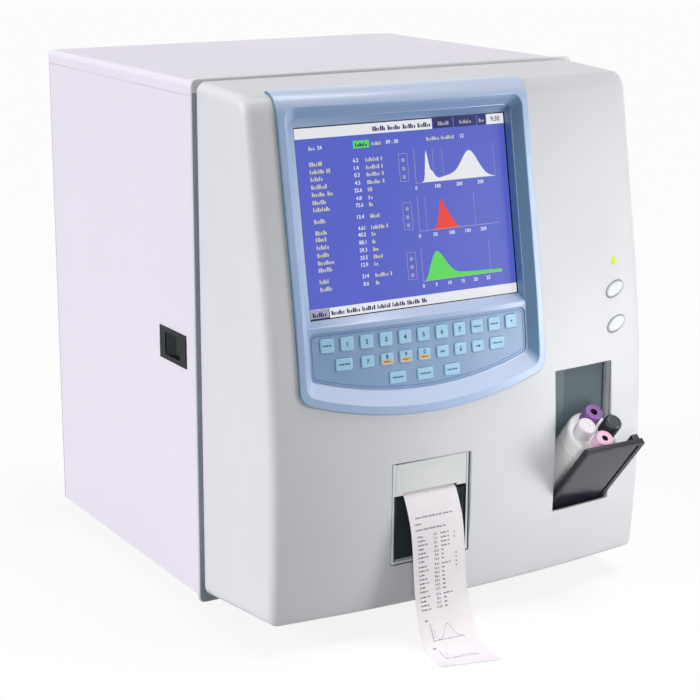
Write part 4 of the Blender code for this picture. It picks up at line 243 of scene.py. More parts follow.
def bodyOf(node):
    # The body that a solid rides on
    return frame["nodes"][node]["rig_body"]


figureStore = {}


def tracedText(words):
    # Plain figures one unit high as a thin closed solid, its middle at zero: (x, y, out) points and faces
    curve = bpy.data.curves.new("figures", "FONT")
    curve.body, curve.size, curve.extrude, curve.offset, curve.resolution_u = words, 1.0, 0.05, 0.014, 3
    curve.align_x, curve.align_y = "CENTER", "CENTER"
    with editing(settled(linked("figures", curve))) as work:
        bmesh.ops.remove_doubles(work, verts=work.verts, dist=1e-7)
        points = np.array([v.co[:] for v in work.verts])
        faces = [[v.index for v in f.verts] for f in work.faces]
    points[:, :2] -= (points[:, :2].max(0) + points[:, :2].min(0)) / 2
    return points, faces


def figures(words, height, centre, lift, place, foot=None):
    # Places a stored line of figures around a point, its front face lifted and its back at the foot
    if words not in figureStore:
        figureStore[words] = tracedText(words)
    points, faces = figureStore[words]
    flat = points[:, :2] * height + np.array(centre)
    out = np.where(points[:, 2] > 0, lift, lift / 3 if foot is None else foot)
    return place(np.column_stack([flat, out])), faces


front = {
    "halfWidth": 0.198, "rear": -0.005, "wall": 0.003,
    "bellyDepth": 0.1455, "bellyHeight": 0.120, "faceRadius": 1.0, "breakHeight": 0.300, "bowRadius": 1.407,
    "topFront": 0.4605, "bottomRear": 0.0015, "bottomFront": 0.015,
    "topRounding": 0.018, "sideRounding": 0.009, "bottomRounding": 0.006, "leastRounding": 0.0004,
    # Steps across, up the face and round each edge, of the outer block and of the hollow
    "outerSteps": (64, 40, 10), "hollowSteps": (24, 14, 4),
    # The wall left between the hollow and the sample opening, and the front of that block
    "columnWall": 0.0025, "columnFront": -0.1247, "columnBack": -0.2,
    # The display hole: drawn in from the surround's outline, with its own top and corners
    "holeInset": 0.0067, "holeTop": 0.4523, "holeTopCorner": 0.010, "holeCornerInset": 0.007,
    "holeDepths": (-0.2, -0.07),
}
faceTilt = (front["breakHeight"] - front["bellyHeight"]) / front["faceRadius"]
depthAtBreak = front["bellyDepth"] - (front["breakHeight"] - front["bellyHeight"]) ** 2 / (2 * front["faceRadius"])
lean = np.arctan(faceTilt)


def faceDepth(z):
    # Depth of the middle of the face: a wide arc up to the break, then a straight lean
    low = front["bellyDepth"] - (z - front["bellyHeight"]) ** 2 / (2 * front["faceRadius"])
    return np.where(z < front["breakHeight"], low, depthAtBreak - faceTilt * (z - front["breakHeight"]))


def faceSlope(z):
    # How fast the face falls back with height: the slope of the arc, and past the break the slope there
    return (np.minimum(z, front["breakHeight"]) - front["bellyHeight"]) / front["faceRadius"]


def bow(x):
    # How far the face falls back towards its sides: the square of the distance over twice the radius
    return x**2 / (2 * front["bowRadius"])


def onFace(points):
    # (x, z, out) points go to the bowed face, `out` in front of it along y
    x, z, out = points.T
    return np.column_stack([x, 0.0 - out - faceDepth(z) + bow(x), z])


def squareToFace(centre):
    # Placing rule for (across, up, out) around one point of the face, square to it
    x, z = centre
    out = np.array([x / front["bowRadius"], -1, faceSlope(z)])
    out /= np.linalg.norm(out)
    across = np.array([1.0, 0, 0]) - out * out[0]
    across /= np.linalg.norm(across)
    up = np.cross(out, across)
    origin = np.array([x, float(-faceDepth(z) + bow(x)), z])
    return lambda points: origin + points @ np.stack([across, up, out])


def topLine(y, sink):
    # Height of the top at a depth: a straight fall from the case's height to the front edge, less the sink
    fall = caseSize["height"] - front["topFront"]
    return caseSize["height"] + y * fall / faceDepth(front["topFront"]) - sink


def bottomLine(y, sink):
    # Height of the underside at a depth: a straight rise from the seam to the front edge, plus the sink
    rise = front["bottomFront"] - front["bottomRear"]
    return front["bottomRear"] - y * rise / faceDepth(front["bottomFront"]) + sink


def roundedCorner(before, corner, after, radius, steps):
    # Circle of a radius laid into the corner between two lines, as steps + 1 points for each row
    u, v = before - corner, after - corner
    u /= np.linalg.norm(u, axis=-1, keepdims=True)
    v /= np.linalg.norm(v, axis=-1, keepdims=True)
    half = np.arccos(np.clip((u * v).sum(-1), -1, 1))[:, None] / 2
    middle = (u + v) / np.linalg.norm(u + v, axis=-1, keepdims=True)
    heart = corner + middle * radius[:, None] / np.sin(half)
    start, end = corner + u * radius[:, None] / np.tan(half), corner + v * radius[:, None] / np.tan(half)
    sweep = np.pi - 2 * half
    t = np.linspace(0, 1, steps + 1)[None, :]
    a, b = np.sin((1 - t) * sweep) / np.sin(sweep), np.sin(t * sweep) / np.sin(sweep)
    return heart[:, None] + a[..., None] * (start - heart)[:, None] + b[..., None] * (end - heart)[:, None]


def mouldBlock(name, sink, rear, stations, faceSteps, roundSteps):
    # The front's solid form: a side outline at each station across, drawn in at both ends by the side rounding
    edge = max(front["sideRounding"] - sink, front["leastRounding"])
    inner = front["halfWidth"] - sink - edge
    turn = np.linspace(0, np.pi / 2, roundSteps + 1)[1:]
    middle = np.linspace(-inner, inner, stations + 1)
    x = np.concatenate([-(inner + edge * np.sin(turn))[::-1], middle, inner + edge * np.sin(turn)])
    s = sink + np.concatenate([(edge * (1 - np.cos(turn)))[::-1], middle * 0, edge * (1 - np.cos(turn))])
    # Where the face meets the bottom and the top, found by putting each into the other's line in turn
    lowZ, highZ = np.full_like(s, front["bottomFront"]), np.full_like(s, front["topFront"])
    for _ in range(10):
        lowY, highY = s - faceDepth(lowZ), s - faceDepth(highZ)
        lowZ, highZ = bottomLine(lowY, s), topLine(highY, s)
    low, high = np.stack([lowY, lowZ], -1), np.stack([highY, highZ], -1)
    rearLow = np.stack([np.full_like(s, rear), bottomLine(rear, s)], -1)
    rearHigh = np.stack([np.full_like(s, rear), topLine(rear, s)], -1)
    aboveLow = low + np.stack([faceSlope(lowZ), np.ones_like(s)], -1)
    belowHigh = high - np.stack([faceSlope(highZ), np.ones_like(s)], -1)
    bottomRadius = np.maximum(front["bottomRounding"] - s, front["leastRounding"])
    topRadius = np.maximum(front["topRounding"] - s, front["leastRounding"])
    bottom = roundedCorner(rearLow, low, aboveLow, bottomRadius, roundSteps)
    top = roundedCorner(belowHigh, high, rearHigh, topRadius, roundSteps + 4)
    faceStart = front["bottomFront"] + front["bottomRounding"] + front["sideRounding"]
    z = np.linspace(faceStart, front["breakHeight"], faceSteps + 1)
    face = np.stack(np.broadcast_arrays(s[:, None] - faceDepth(z)[None], z[None]), -1)
    # The bow grows from nothing at the rear to all of it at the face
    share = lambda part, end: np.clip(part[..., 0] / end[:, None], 0, 1)
    profile = np.concatenate([rearLow[:, None], bottom, face, top, rearHigh[:, None]], 1)
    weight = np.concatenate([
        share(rearLow[:, None], lowY), share(bottom, lowY), np.ones(face.shape[:2]),
        share(top, highY), share(rearHigh[:, None], highY)], 1)
    rings = [np.broadcast_to(x[:, None], weight.shape), profile[..., 0] + weight * bow(x)[:, None], profile[..., 1]]
    return blank(name, skin(np.stack(rings, -1)))


def feed(tree, node, values):
    # Each named socket gets its fixed value, or a link from the output that feeds it
    for socket, value in values.items():
        if isinstance(value, bpy.types.NodeSocket):
            tree.links.new(value, node.inputs[socket])
        else:
            node.inputs[socket].default_value = value


def addNode(tree, kind, values=(), **settings):
    # A node with its settings and what feeds it
    made = tree.nodes.new(kind)
    for key, value in settings.items():
        setattr(made, key, value)
    feed(tree, made, dict(values))
    return made


def reckon(tree, operation, *values):
    # The result of one Math node
    return addNode(tree, "ShaderNodeMath", dict(enumerate(values)), operation=operation).outputs["Value"]


def blend(tree, factor, first, second):
    # A colour between two colours
    values = {"Factor": factor, "A": first, "B": second}
    return addNode(tree, "ShaderNodeMix", values, data_type="RGBA").outputs["Result"]


def stretch(tree, value, low, high):
    # A value's place between low and high, as 0 to 1
    return addNode(tree, "ShaderNodeMapRange", {"Value": value, "From Min": low, "From Max": high}).outputs["Result"]


def cloud(tree, scale, **values):
    # Noise that keeps to the object, as 0 to 1
    place = addNode(tree, "ShaderNodeTexCoord").outputs["Object"]
    return addNode(tree, "ShaderNodeTexNoise", {"Vector": place, "Scale": scale, **values}).outputs["Fac"]


def facingWay(tree):
    # The three parts of the way a surface faces
    normal = addNode(tree, "ShaderNodeNewGeometry").outputs["Normal"]
    return addNode(tree, "ShaderNodeSeparateXYZ", {"Vector": normal}).outputs


def shaderGroup(name, inputs, outputs):
    # A group with named sockets, colours where the value has four parts; its entry's outputs and its exit too
    group = bpy.data.node_groups.new(name, "ShaderNodeTree")
    for label, value in inputs.items():
        kind = "NodeSocketColor" if isinstance(value, tuple) else "NodeSocketFloat"
        group.interface.new_socket(name=label, in_out="INPUT", socket_type=kind).default_value = value
    for label in outputs:
        kind = "NodeSocketColor" if label == "Color" else "NodeSocketFloat"
        group.interface.new_socket(name=label, in_out="OUTPUT", socket_type=kind)
    return group, addNode(group, "NodeGroupInput").outputs, addNode(group, "NodeGroupOutput")


def buildGrain():
    # Moulded or painted skin: blotchy tone, fine grain in the height, and a slow drift of the gloss
    group, entry, leave = shaderGroup("surfaceGrain", {
        "Tone": (0.8, 0.8, 0.8, 1), "Deep Tone": (0.7, 0.7, 0.7, 1), "Blotch Size": 14.0, "Grain Size": 2600.0,
        "Grain Height": 0.5, "Gloss": 0.4, "Gloss Drift": 0.08}, ["Color", "Roughness", "Height"])
    spread = stretch(group, cloud(group, entry["Blotch Size"], Detail=3.0, Roughness=0.55), 0.35, 0.65)
    grain = cloud(group, entry["Grain Size"], Detail=2.0, Roughness=0.6)
    feed(group, leave, {
        "Color": blend(group, spread, entry["Tone"], entry["Deep Tone"]),
        "Roughness": reckon(group, "MULTIPLY_ADD", spread, entry["Gloss Drift"], entry["Gloss"]),
        "Height": reckon(group, "MULTIPLY", grain, entry["Grain Height"])})
    return group


def buildDust():
    # A thin film on surfaces that face up, broken by noise: a mask between 0 and 1
    group, entry, leave = shaderGroup("settledFilm", {"Amount": 0.2, "Patch Size": 60.0}, ["Mask"])
    upward = stretch(group, facingWay(group)["Z"], 0.3, 1.0)
    patches = reckon(group, "MULTIPLY", upward, cloud(group, entry["Patch Size"], Detail=4.0))
    feed(group, leave, {"Mask": reckon(group, "MULTIPLY", patches, entry["Amount"])})
    return group


def buildShadeByFacing():
    # Painted light by the way a wall faces: a painted highlight where it looks up, painted shade where it looks in or
    # down
    group, entry, leave = shaderGroup("paintedShadeByFacing", {
        "Tone": (0.5, 0.6, 0.8, 1), "Highlight Tone": (0.7, 0.75, 0.9, 1), "Deep Tone": (0.2, 0.35, 0.5, 1)}, ["Color"])
    way = facingWay(group)
    inward = reckon(group, "MULTIPLY_ADD", way["Z"], -0.35, reckon(group, "MULTIPLY", way["X"], -0.85))
    pale = blend(group, stretch(group, way["Z"], 0.25, 0.6), entry["Tone"], entry["Highlight Tone"])
    feed(group, leave, {"Color": blend(group, stretch(group, inward, 0.02, 0.5), pale, entry["Deep Tone"])})
    return group


grainGroup, dustGroup, shadeByFacingGroup = buildGrain(), buildDust(), buildShadeByFacing()
filmTone, reliefStrength, reliefDistance = (205, 200, 195), 0.25, 0.0002


def fromScreen(tone):
    # A colour as a screen shows it, 0 to 255, to the linear value that a shader takes
    c = np.array(tone) / 255
    return tuple(np.where(c <= 0.04045, c / 12.92, ((c + 0.055) / 1.055) ** 2.4)) + (1.0,)


def newMaterial(name, skinValues):
    # A material, its shader and the outputs of its grain
    material = bpy.data.materials.new(name)
    material.use_nodes = True
    tree = material.node_tree
    grain = addNode(tree, "ShaderNodeGroup", skinValues, node_tree=grainGroup).outputs
    return material, tree, tree.nodes["Principled BSDF"], grain


def finish(name, tone, deep, gloss, drift, blotch, grain, bump, dust=0.0, sockets=(), facing=None):
    # Paint, plastic or metal: grain gives tone, gloss and relief, then come the film and the painted highlight and
    # shade by facing
    material, tree, shader, skinOut = newMaterial(name, {
        "Tone": fromScreen(tone), "Deep Tone": fromScreen(deep), "Blotch Size": blotch, "Grain Size": grain,
        "Grain Height": bump, "Gloss": gloss, "Gloss Drift": drift})
    colour = skinOut["Color"]
    if dust:
        film = addNode(tree, "ShaderNodeGroup", {"Amount": dust}, node_tree=dustGroup)
        colour = blend(tree, film.outputs["Mask"], colour, fromScreen(filmTone))
    # Painted highlight and painted shade by the way the surface faces
    if facing:
        tones = {"Tone": colour, "Highlight Tone": fromScreen(facing[0]), "Deep Tone": fromScreen(facing[1])}
        colour = addNode(tree, "ShaderNodeGroup", tones, node_tree=shadeByFacingGroup).outputs["Color"]
    relief = {"Strength": reliefStrength, "Distance": reliefDistance, "Height": skinOut["Height"]}
    feed(tree, shader, {
        "Base Color": colour, "Roughness": skinOut["Roughness"],
        "Normal": addNode(tree, "ShaderNodeBump", relief).outputs["Normal"], **dict(sockets)})
    material.diffuse_color = fromScreen(tone)
    return material


# Each finish: tone, deeper tone, gloss, its drift, blotch size, grain size, grain height and settled film
finishRows = {
    "case_paint": ((240, 234, 245), (238, 232, 243), 0.42, 0.05, 5, 1500, 1.0, 0.05),
    "rear_paint": ((222, 218, 226), (214, 210, 220), 0.45, 0.08, 9, 1500, 1.0),
    "frame_paint": ((240, 238, 241), (234, 232, 236), 0.36, 0.05, 12, 1700, 0.6, 0.1),
    "chassis_steel": ((176, 178, 182), (158, 160, 166), 0.36, 0.14, 30, 900, 0.4),
    "zinc_plate": ((188, 190, 192), (168, 170, 176), 0.32, 0.16, 26, 700, 0.4),
    "probe_steel": ((205, 207, 210), (190, 192, 196), 0.18, 0.08, 60, 1800, 0.3),
    "foot_rubber": ((46, 46, 47), (34, 34, 35), 0.75, 0.1, 50, 1800, 1.0, 0.3),
    "moulded_front": ((230, 230, 233), (226, 226, 230), 0.4, 0.05, 7, 2400, 0.7, 0.05),
    "bezel_blue": ((180, 204, 240), (174, 199, 237), 0.3, 0.05, 12, 3000, 0.3),
    "screen_glass": ((24, 24, 34), (18, 18, 26), 0.22, 0.05, 20, 3000, 0.2),
    "key_panel_blue": ((150, 179, 215), (144, 174, 211), 0.38, 0.06, 18, 2600, 0.6),
    "key_blue": ((180, 226, 255), (172, 221, 252), 0.4, 0.06, 60, 2600, 0.5),
    "button_white": ((238, 240, 244), (230, 232, 238), 0.32, 0.05, 60, 3000, 0.3),
    "recorder_dark": ((50, 60, 65), (42, 52, 57), 0.3, 0.1, 40, 2200, 0.5),
    "recorder_flap_grey": ((234, 235, 236), (229, 231, 232), 0.36, 0.06, 20, 2400, 0.5),
    "platen_rubber": ((52, 52, 53), (40, 40, 41), 0.7, 0.1, 40, 1600, 0.8),
    "paper_white": ((245, 239, 242), (240, 233, 237), 0.8, 0.05, 35, 1200, 0.6),
    "liner_grey": ((192, 204, 210), (182, 195, 202), 0.4, 0.08, 20, 2400, 0.5),
    "door_dark": ((38, 35, 43), (31, 28, 35), 0.3, 0.08, 30, 2600, 0.3),
    "adapter_white": ((250, 250, 249), (245, 245, 244), 0.36, 0.06, 30, 2600, 0.4),
    "purple_cap": ((154, 104, 176), (138, 88, 160), 0.34, 0.08, 60, 2200, 0.5),
    "black_cap": ((42, 50, 53), (34, 41, 44), 0.36, 0.1, 60, 2200, 0.6),
    "pink_cap": ((246, 204, 226), (240, 192, 218), 0.34, 0.08, 60, 2200, 0.5),
    "white_cap": ((236, 229, 233), (231, 222, 227), 0.36, 0.08, 60, 2200, 0.5),
    "switch_black": ((24, 31, 35), (18, 24, 28), 0.34, 0.08, 40, 2600, 0.4),
    "inlet_black": ((34, 34, 36), (26, 26, 28), 0.5, 0.1, 40, 2200, 0.8),
    "fan_black": ((34, 34, 37), (26, 26, 29), 0.45, 0.1, 40, 2200, 0.6),
    "fluidics_grey": ((186, 190, 196), (172, 176, 184), 0.4, 0.1, 26, 1800, 0.5),
    # Second finishes of pieces that have more than one
    "key_ink": ((30, 52, 88), (24, 44, 76), 0.5, 0.05, 80, 2600, 0.2),
    "key_orange": ((250, 204, 124), (244, 194, 110), 0.42, 0.06, 60, 2600, 0.4),
    "key_line": ((98, 140, 200), (90, 130, 190), 0.42, 0.06, 60, 2600, 0.4),
    "paper_ink": ((96, 92, 104), (80, 76, 88), 0.7, 0.05, 300, 2600, 0.2),
    # Painted shade of gaps, of the shaded flange face and of the grooves
    "gap_grey": ((104, 108, 120), (90, 94, 106), 0.5, 0.05, 60, 2600, 0.3),
    "seam_grey": ((164, 172, 182), (154, 162, 172), 0.45, 0.06, 20, 1700, 0.5),
    "recorder_rim": ((232, 236, 238), (226, 230, 233), 0.34, 0.06, 30, 2400, 0.5),
    "plate_silver": ((206, 208, 212), (196, 199, 204), 0.4, 0.1, 60, 900, 0.3),
    # Painted shade for the bezel's outer side walls, painted light on the liner's back, and painted shade in bores and
    # the liner's front strip
    "bezel_edge": ((84, 120, 142), (76, 112, 134), 0.4, 0.05, 30, 2600, 0.3),
    "liner_pale": ((198, 212, 218), (190, 205, 212), 0.4, 0.08, 20, 2400, 0.5),
    "bore_dark": ((44, 42, 54), (34, 32, 42), 0.6, 0.05, 80, 2200, 0.5),
    "tube_clear": ((226, 224, 226), (218, 214, 218), 0.16, 0.04, 40, 2600, 0.2),
}
# What some finishes have besides: fixed sockets of the shader, and painted highlight and shade tones by facing, up and
# inward
finishExtras = {
    "chassis_steel": {"sockets": {"Metallic": 1.0}}, "zinc_plate": {"sockets": {"Metallic": 1.0}},
    "probe_steel": {"sockets": {"Metallic": 1.0}}, "plate_silver": {"sockets": {"Metallic": 0.7}},
    # The bezel's blue gets a painted highlight on walls that face up and painted shade on walls that face left or down
    "bezel_blue": {
        "sockets": {"Coat Weight": 0.3, "Coat Roughness": 0.12}, "facing": ((202, 216, 243), (108, 150, 186))},
    "recorder_dark": {"sockets": {"Specular IOR Level": 0.3}}, "door_dark": {"sockets": {"Specular IOR Level": 0.35}},
    "switch_black": {"sockets": {"Specular IOR Level": 0.12}}, "tube_clear": {"sockets": {"Coat Weight": 0.4}},
}
# Each lit area: tone, deeper tone, strength and blotch size
litRows = {
    "ground": ((84, 97, 205), (90, 103, 209), 0.84, 9.0), "white": ((244, 245, 250), (237, 238, 246), 0.84, 40.0),
    "navy": ((38, 44, 120), (34, 40, 110), 0.7, 40.0), "green": ((96, 228, 92), (84, 218, 84), 0.84, 40.0),
    "red": ((244, 58, 32), (236, 50, 28), 0.9, 40.0), "cream": ((222, 218, 198), (214, 211, 190), 0.72, 40.0),
    "grey": ((176, 178, 196), (168, 170, 190), 0.75, 40.0),
}
lampRow = ((226, 244, 64), (212, 236, 48), 1.0, 200.0)
pane = {
    "Tone": (68, 63, 79), "Deep Tone": (51, 47, 62), "Blotch Size": 24.0, "Grain Height": 0.2,
    "Gloss": 0.08, "Gloss Drift": 0.1,
    "sockets": {"Transmission Weight": 0.2, "IOR": 1.45, "Specular IOR Level": 0.35},
}


def glowing(name, tone, deep, strength, blotch):
    # A lit area behind film: a dark glossy skin that gives off an almost even colour
    dark, darker = (tuple(share * t for t in tone) for share in (0.25, 0.2))
    material = finish(name, dark, darker, 0.3, 0.04, 20, 3000, 0.2)
    tree = material.node_tree
    colour = blend(tree, cloud(tree, blotch, Detail=1.0), fromScreen(tone), fromScreen(deep))
    feed(tree, tree.nodes["Principled BSDF"], {
        "Emission Color": colour, "Emission Strength": strength, "Specular IOR Level": 0.2})
    return material


def smokedPane():
    # Smoked acrylic: dark tinted glass that lets a little of the light through, with faint streaks in its gloss
    values = {name: fromScreen(v) if isinstance(v, tuple) else v for name, v in pane.items() if name != "sockets"}
    material, tree, shader, skinOut = newMaterial("smokedPane", values)
    feed(tree, shader, {"Base Color": skinOut["Color"], "Roughness": skinOut["Roughness"], **pane["sockets"]})
    return material


def camelName(slot):
    # key_blue becomes keyBlue
    first, *rest = slot.split("_")
    return first + "".join(word.capitalize() for word in rest)


finishes = {slot: finish(camelName(slot), *row, **finishExtras.get(slot, {})) for slot, row in finishRows.items()}
finishes["lamp_lens"] = glowing("lampLens", *lampRow)
finishes["window_smoke"] = smokedPane()
lit = {name: glowing("lit" + name.capitalize(), *row) for name, row in litRows.items()}
print("finishes made:", len(finishes) + len(lit))

# Which finish every carried-over node takes, and the width of its softened edges in millimetres
nodeFinish = {
    "base_chassis": ("chassis_steel", 0.3), "top_cover": ("case_paint", 0.0),
    "left_panel": ("case_paint", 0.4), "right_panel": ("case_paint", 0.4), "rear_panel": ("rear_paint", 0.25),
    "lcd_module": ("screen_glass", 0.4), "keypad_plate": ("key_panel_blue", 0.0),
    "recorder_flap": ("recorder_flap_grey", 0.25),
    "platen_roller": ("platen_rubber", 0.2), "paper_roll": ("paper_white", 0.2),
    "sample_door": ("door_dark", 0.4), "door_window": ("window_smoke", 0.15),
    "power_switch_bezel": ("switch_black", 0.3), "power_switch_rocker": ("switch_black", 0.3),
    "front_left_foot": ("foot_rubber", 0.6), "front_right_foot": ("foot_rubber", 0.6),
    "rear_left_foot": ("foot_rubber", 0.6), "rear_right_foot": ("foot_rubber", 0.6),
    "power_inlet": ("inlet_black", 0.3), "electronics_box": ("zinc_plate", 0.3), "fan_rotor": ("fan_black", 0.0),
    "fluidics_module": ("fluidics_grey", 0.3), "sample_probe": ("probe_steel", 0.15),
}
# How much of a face's normal lies along y, or along x, before the face counts as facing that way
squareOn, sideOn = 0.9, 0.7


def softCopy(node, width):
    # A copy of the solid: loose triangles merged, flat faces joined, edges rounded by a width in millimetres
    mesh = frame["nodes"][node].data.copy()
    with editing(mesh) as work:
        bmesh.ops.remove_doubles(work, verts=work.verts, dist=1e-5)
        bmesh.ops.dissolve_limit(work, angle_limit=np.radians(0.6), verts=work.verts, edges=work.edges)
    if not width:
        return mesh
    holder = linked("edges", mesh)
    edges = holder.modifiers.new("edges", "BEVEL")
    edges.width, edges.segments, edges.limit_method = width / 1000, 2, "ANGLE"
    edges.angle_limit, edges.use_clamp_overlap = np.radians(40), True
    return settled(holder)


def paintAreas(mesh, cuts, choose):
    # Splits faces along planes (axis, place), then picks a finish number for each face by its middle and normal
    with editing(mesh) as work:
        for axis, place in cuts:
            normal = Vector([float(k == axis) for k in range(3)])
            everything = [*work.verts, *work.edges, *work.faces]
            bmesh.ops.bisect_plane(work, geom=everything, plane_co=normal * place, plane_no=normal)
        work.faces.ensure_lookup_table()
        middles = np.array([f.calc_center_median()[:] for f in work.faces])
        normals = np.array([f.normal[:] for f in work.faces])
        for face, number in zip(work.faces, choose(middles, normals)):
            face.material_index = int(number)


def dress(node, mesh, slot, *others):
    # The softened mesh takes its solid's place on the same body and keeps the areas painted on it
    numbers = readout(mesh.polygons, "material_index", kind=np.int32)
    shadeByAngle(mesh, 38)
    materials = [finishes[name] for name in (slot, *others)]
    newPiece(node + "_skin", mesh, bodyOf(node), slot, materials, [node])
    mesh.polygons.foreach_set("material_index", numbers if others else numbers * 0)


# The flange: its face behind the flange's front, where its outer lip starts, and the lip's rounding
flange = {"face": 0.0035, "side": 0.0068, "top": 0.006, "foot": 0.0123, "rounding": 0.0017, "greyBelow": 0.012}


def dressFrontFrame():
    # The flange's outer lip is rounded and pale; where it faces forward, in the moulding's shadow, it is painted grey
    # as shade
    mesh = softCopy("front_frame", 0)
    low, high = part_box("front_frame")
    face = high.y - flange["face"]
    with editing(mesh) as work:
        rim = []
        for edge in work.edges:
            a, b = (v.co for v in edge.verts)
            middle = (a + b) / 2
            outside = abs(middle.x) > high.x - flange["side"] or middle.z > high.z - flange["top"]
            outside = outside or middle.z < low.z + flange["foot"]
            level = max(abs(a.y - face), abs(b.y - face)) < 2e-4
            if level and outside and edge.is_manifold and edge.calc_face_angle() > 1.0:
                rim.append(edge)
        bmesh.ops.bevel(
            work, geom=rim, offset=flange["rounding"], segments=4, profile=0.5, affect="EDGES", clamp_overlap=True)
    top = high.z - flange["greyBelow"]
    paintAreas(mesh, [(2, top)], lambda middles, normals: (normals[:, 1] < -squareOn) & (middles[:, 2] < top))
    dress("front_frame", mesh, "frame_paint", "seam_grey")


# The recorder's mouth: width of its pale ledge and of the painted shadow gaps outside and inside it, and the ledge's
# depth
recorder = {"ledge": 0.0033, "gap": 0.0011, "inner": 0.0014, "skin": 0.001, "rimDepth": 0.0125}


def dressRecorder():
    # Pale rim round the dark mouth; its outer edge at the right and below stays dark as a painted shadow gap, and so do
    # a strip inside it at the left and the walls that face sideways
    mesh = softCopy("recorder_body", 0.35)
    low, high = (np.array(corner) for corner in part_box("recorder_body"))
    ledge, gap, inner, outer, rimDepth = (recorder[k] for k in ("ledge", "gap", "inner", "skin", "rimDepth"))
    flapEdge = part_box("recorder_flap")[0].z
    cuts = [(0, high[0] - gap), (0, high[0] - ledge), (0, low[0] + ledge), (0, low[0] + inner)]
    cuts += [(2, low[2] + gap), (2, low[2] + ledge), (1, low[1] + rimDepth), (2, flapEdge)]

    def choose(middles, normals):
        x, y, z = middles.T
        ring = (x < low[0] + ledge) | (x > high[0] - ledge) | (z < low[2] + ledge)
        inside = (x > low[0] + outer) & (x < high[0] - outer)
        shade = (x > high[0] - gap) | (z < low[2] + gap) | ((np.abs(normals[:, 0]) > sideOn) & inside)
        shade |= (x > low[0] + inner) & (x < low[0] + ledge) & (z < flapEdge) & (z > low[2] + ledge)
        return np.where(ring & ~shade & (y < low[1] + rimDepth), 1, 0)
    paintAreas(mesh, cuts, choose)
    dress("recorder_body", mesh, "recorder_dark", "recorder_rim")


# The liner: depth of the dark strip of painted shade at its front edge, and where its back lies before its rear end
liner = {"strip": 0.0024, "back": 0.0026, "outside": 0.001}


def dressLiner():
    # Painted light: the back is painted paler than the sides, whose front edge is a dark strip of painted shade
    mesh = softCopy("compartment_liner", 0.4)
    low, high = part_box("compartment_liner")
    stripEnd, back = low.y + liner["strip"], high.y - liner["back"]

    def choose(middles, normals):
        y = middles[:, 1]
        dark = (np.abs(normals[:, 0]) > sideOn) & (y < stripEnd)
        pale = (normals[:, 1] < -squareOn) & (y > back) & (y < high.y - liner["outside"])
        return np.where(dark, 1, np.where(pale, 2, 0))
    paintAreas(mesh, [(1, stripEnd)], choose)
    dress("compartment_liner", mesh, "liner_grey", "bore_dark", "liner_pale")


for nodeName, (slotName, edgeWidth) in nodeFinish.items():
    dress(nodeName, softCopy(nodeName, edgeWidth), slotName)
dressFrontFrame()
dressRecorder()
dressLiner()
print("solids softened:", len(nodeFinish) + 3)


openings = {
    "sample": {
        "centre": (0.12175, 0.1385), "half": (0.03405, 0.066), "corner": 0.0006, "lip": 0.0010, "depth": 0.1217},
    "recorder": {
        "centre": (-0.0470, 0.1010), "half": (0.0403, 0.0463), "corner": 0.0015, "lip": 0.0007, "depth": 0.1217},
}
buttons = {
    "caps": {
        "upper_button": {"at": (0.1634, 0.2693), "body": "upper_push_button"},
        "lower_button": {"at": (0.1634, 0.2374), "body": "lower_push_button"}},
    "shape": {"halfLength": 0.0113, "halfWidth": 0.0059, "turn": np.radians(22)}, "gap": 0.0009, "lip": 0.0004,
    # Rings of a cap from its foot up, and of the dark ring of painted shade in the gap round it: how far each grows and
    # how high it lies
    "steps": (
        (0.0020, -0.0049), (0.0020, -0.0033), (0, -0.0033), (0, 0.0), (-0.0002, 0.0005), (-0.0006, 0.0009),
        (-0.0012, 0.0012), (-0.0022, 0.00125), (-0.0036, 0.0011), (-0.0050, 0.0010)),
    "seal": ((0.00012, -0.0021), (0.00012, -0.0003), (0.00088, -0.0003), (0.00088, -0.0021)),
}
lamp = {
    "at": (0.1644, 0.2948), "radius": 0.0030, "gap": 0.0003, "base": 0.0002, "dome": 0.0014, "tip": 0.05,
    # Its flange: share of the radius and height
    "foot": ((1.5, -0.0048), (1.5, -0.0033), (1.0, -0.0033)),
}


def flare(lip, behind, ahead=0.003, steps=5):
    # How far an opening grows (first) at each sink (second): a quarter circle at the face, then straight
    turn = np.linspace(0, np.radians(84), steps + 1)
    grow, sink = lip * (1 - np.cos(turn)), lip * (1 - np.sin(turn))
    return [(0.0, behind), *zip(grow, sink), (grow[-1], -ahead)]


def openingTool(name, centre, half, corner, lip, depth):
    # A rounded block from a flat back at a depth to a mouth that follows the face and flares
    rings = []
    for grow, sink in flare(lip, None):
        flat = roundOutline(centre, (half[0] + grow, half[1] + grow), corner + grow, (24, 40))
        if sink is None:
            rings.append(np.column_stack([flat[:, 0], np.full(len(flat), -depth), flat[:, 1]]))
        else:
            rings.append(onFace(lifted(flat, -sink)))
    return blank(name, skin(np.array(rings)))


def ovalTool(name, at, halfLength, halfWidth, turn, lip):
    # An oval hole square to the face, 8 mm deep, with a flared mouth
    steps = [(grow, -sink) for grow, sink in flare(lip, 0.008)]
    return blank(name, skin(ovalRings(squareToFace(at), steps, halfLength, halfWidth, 48, turn)))


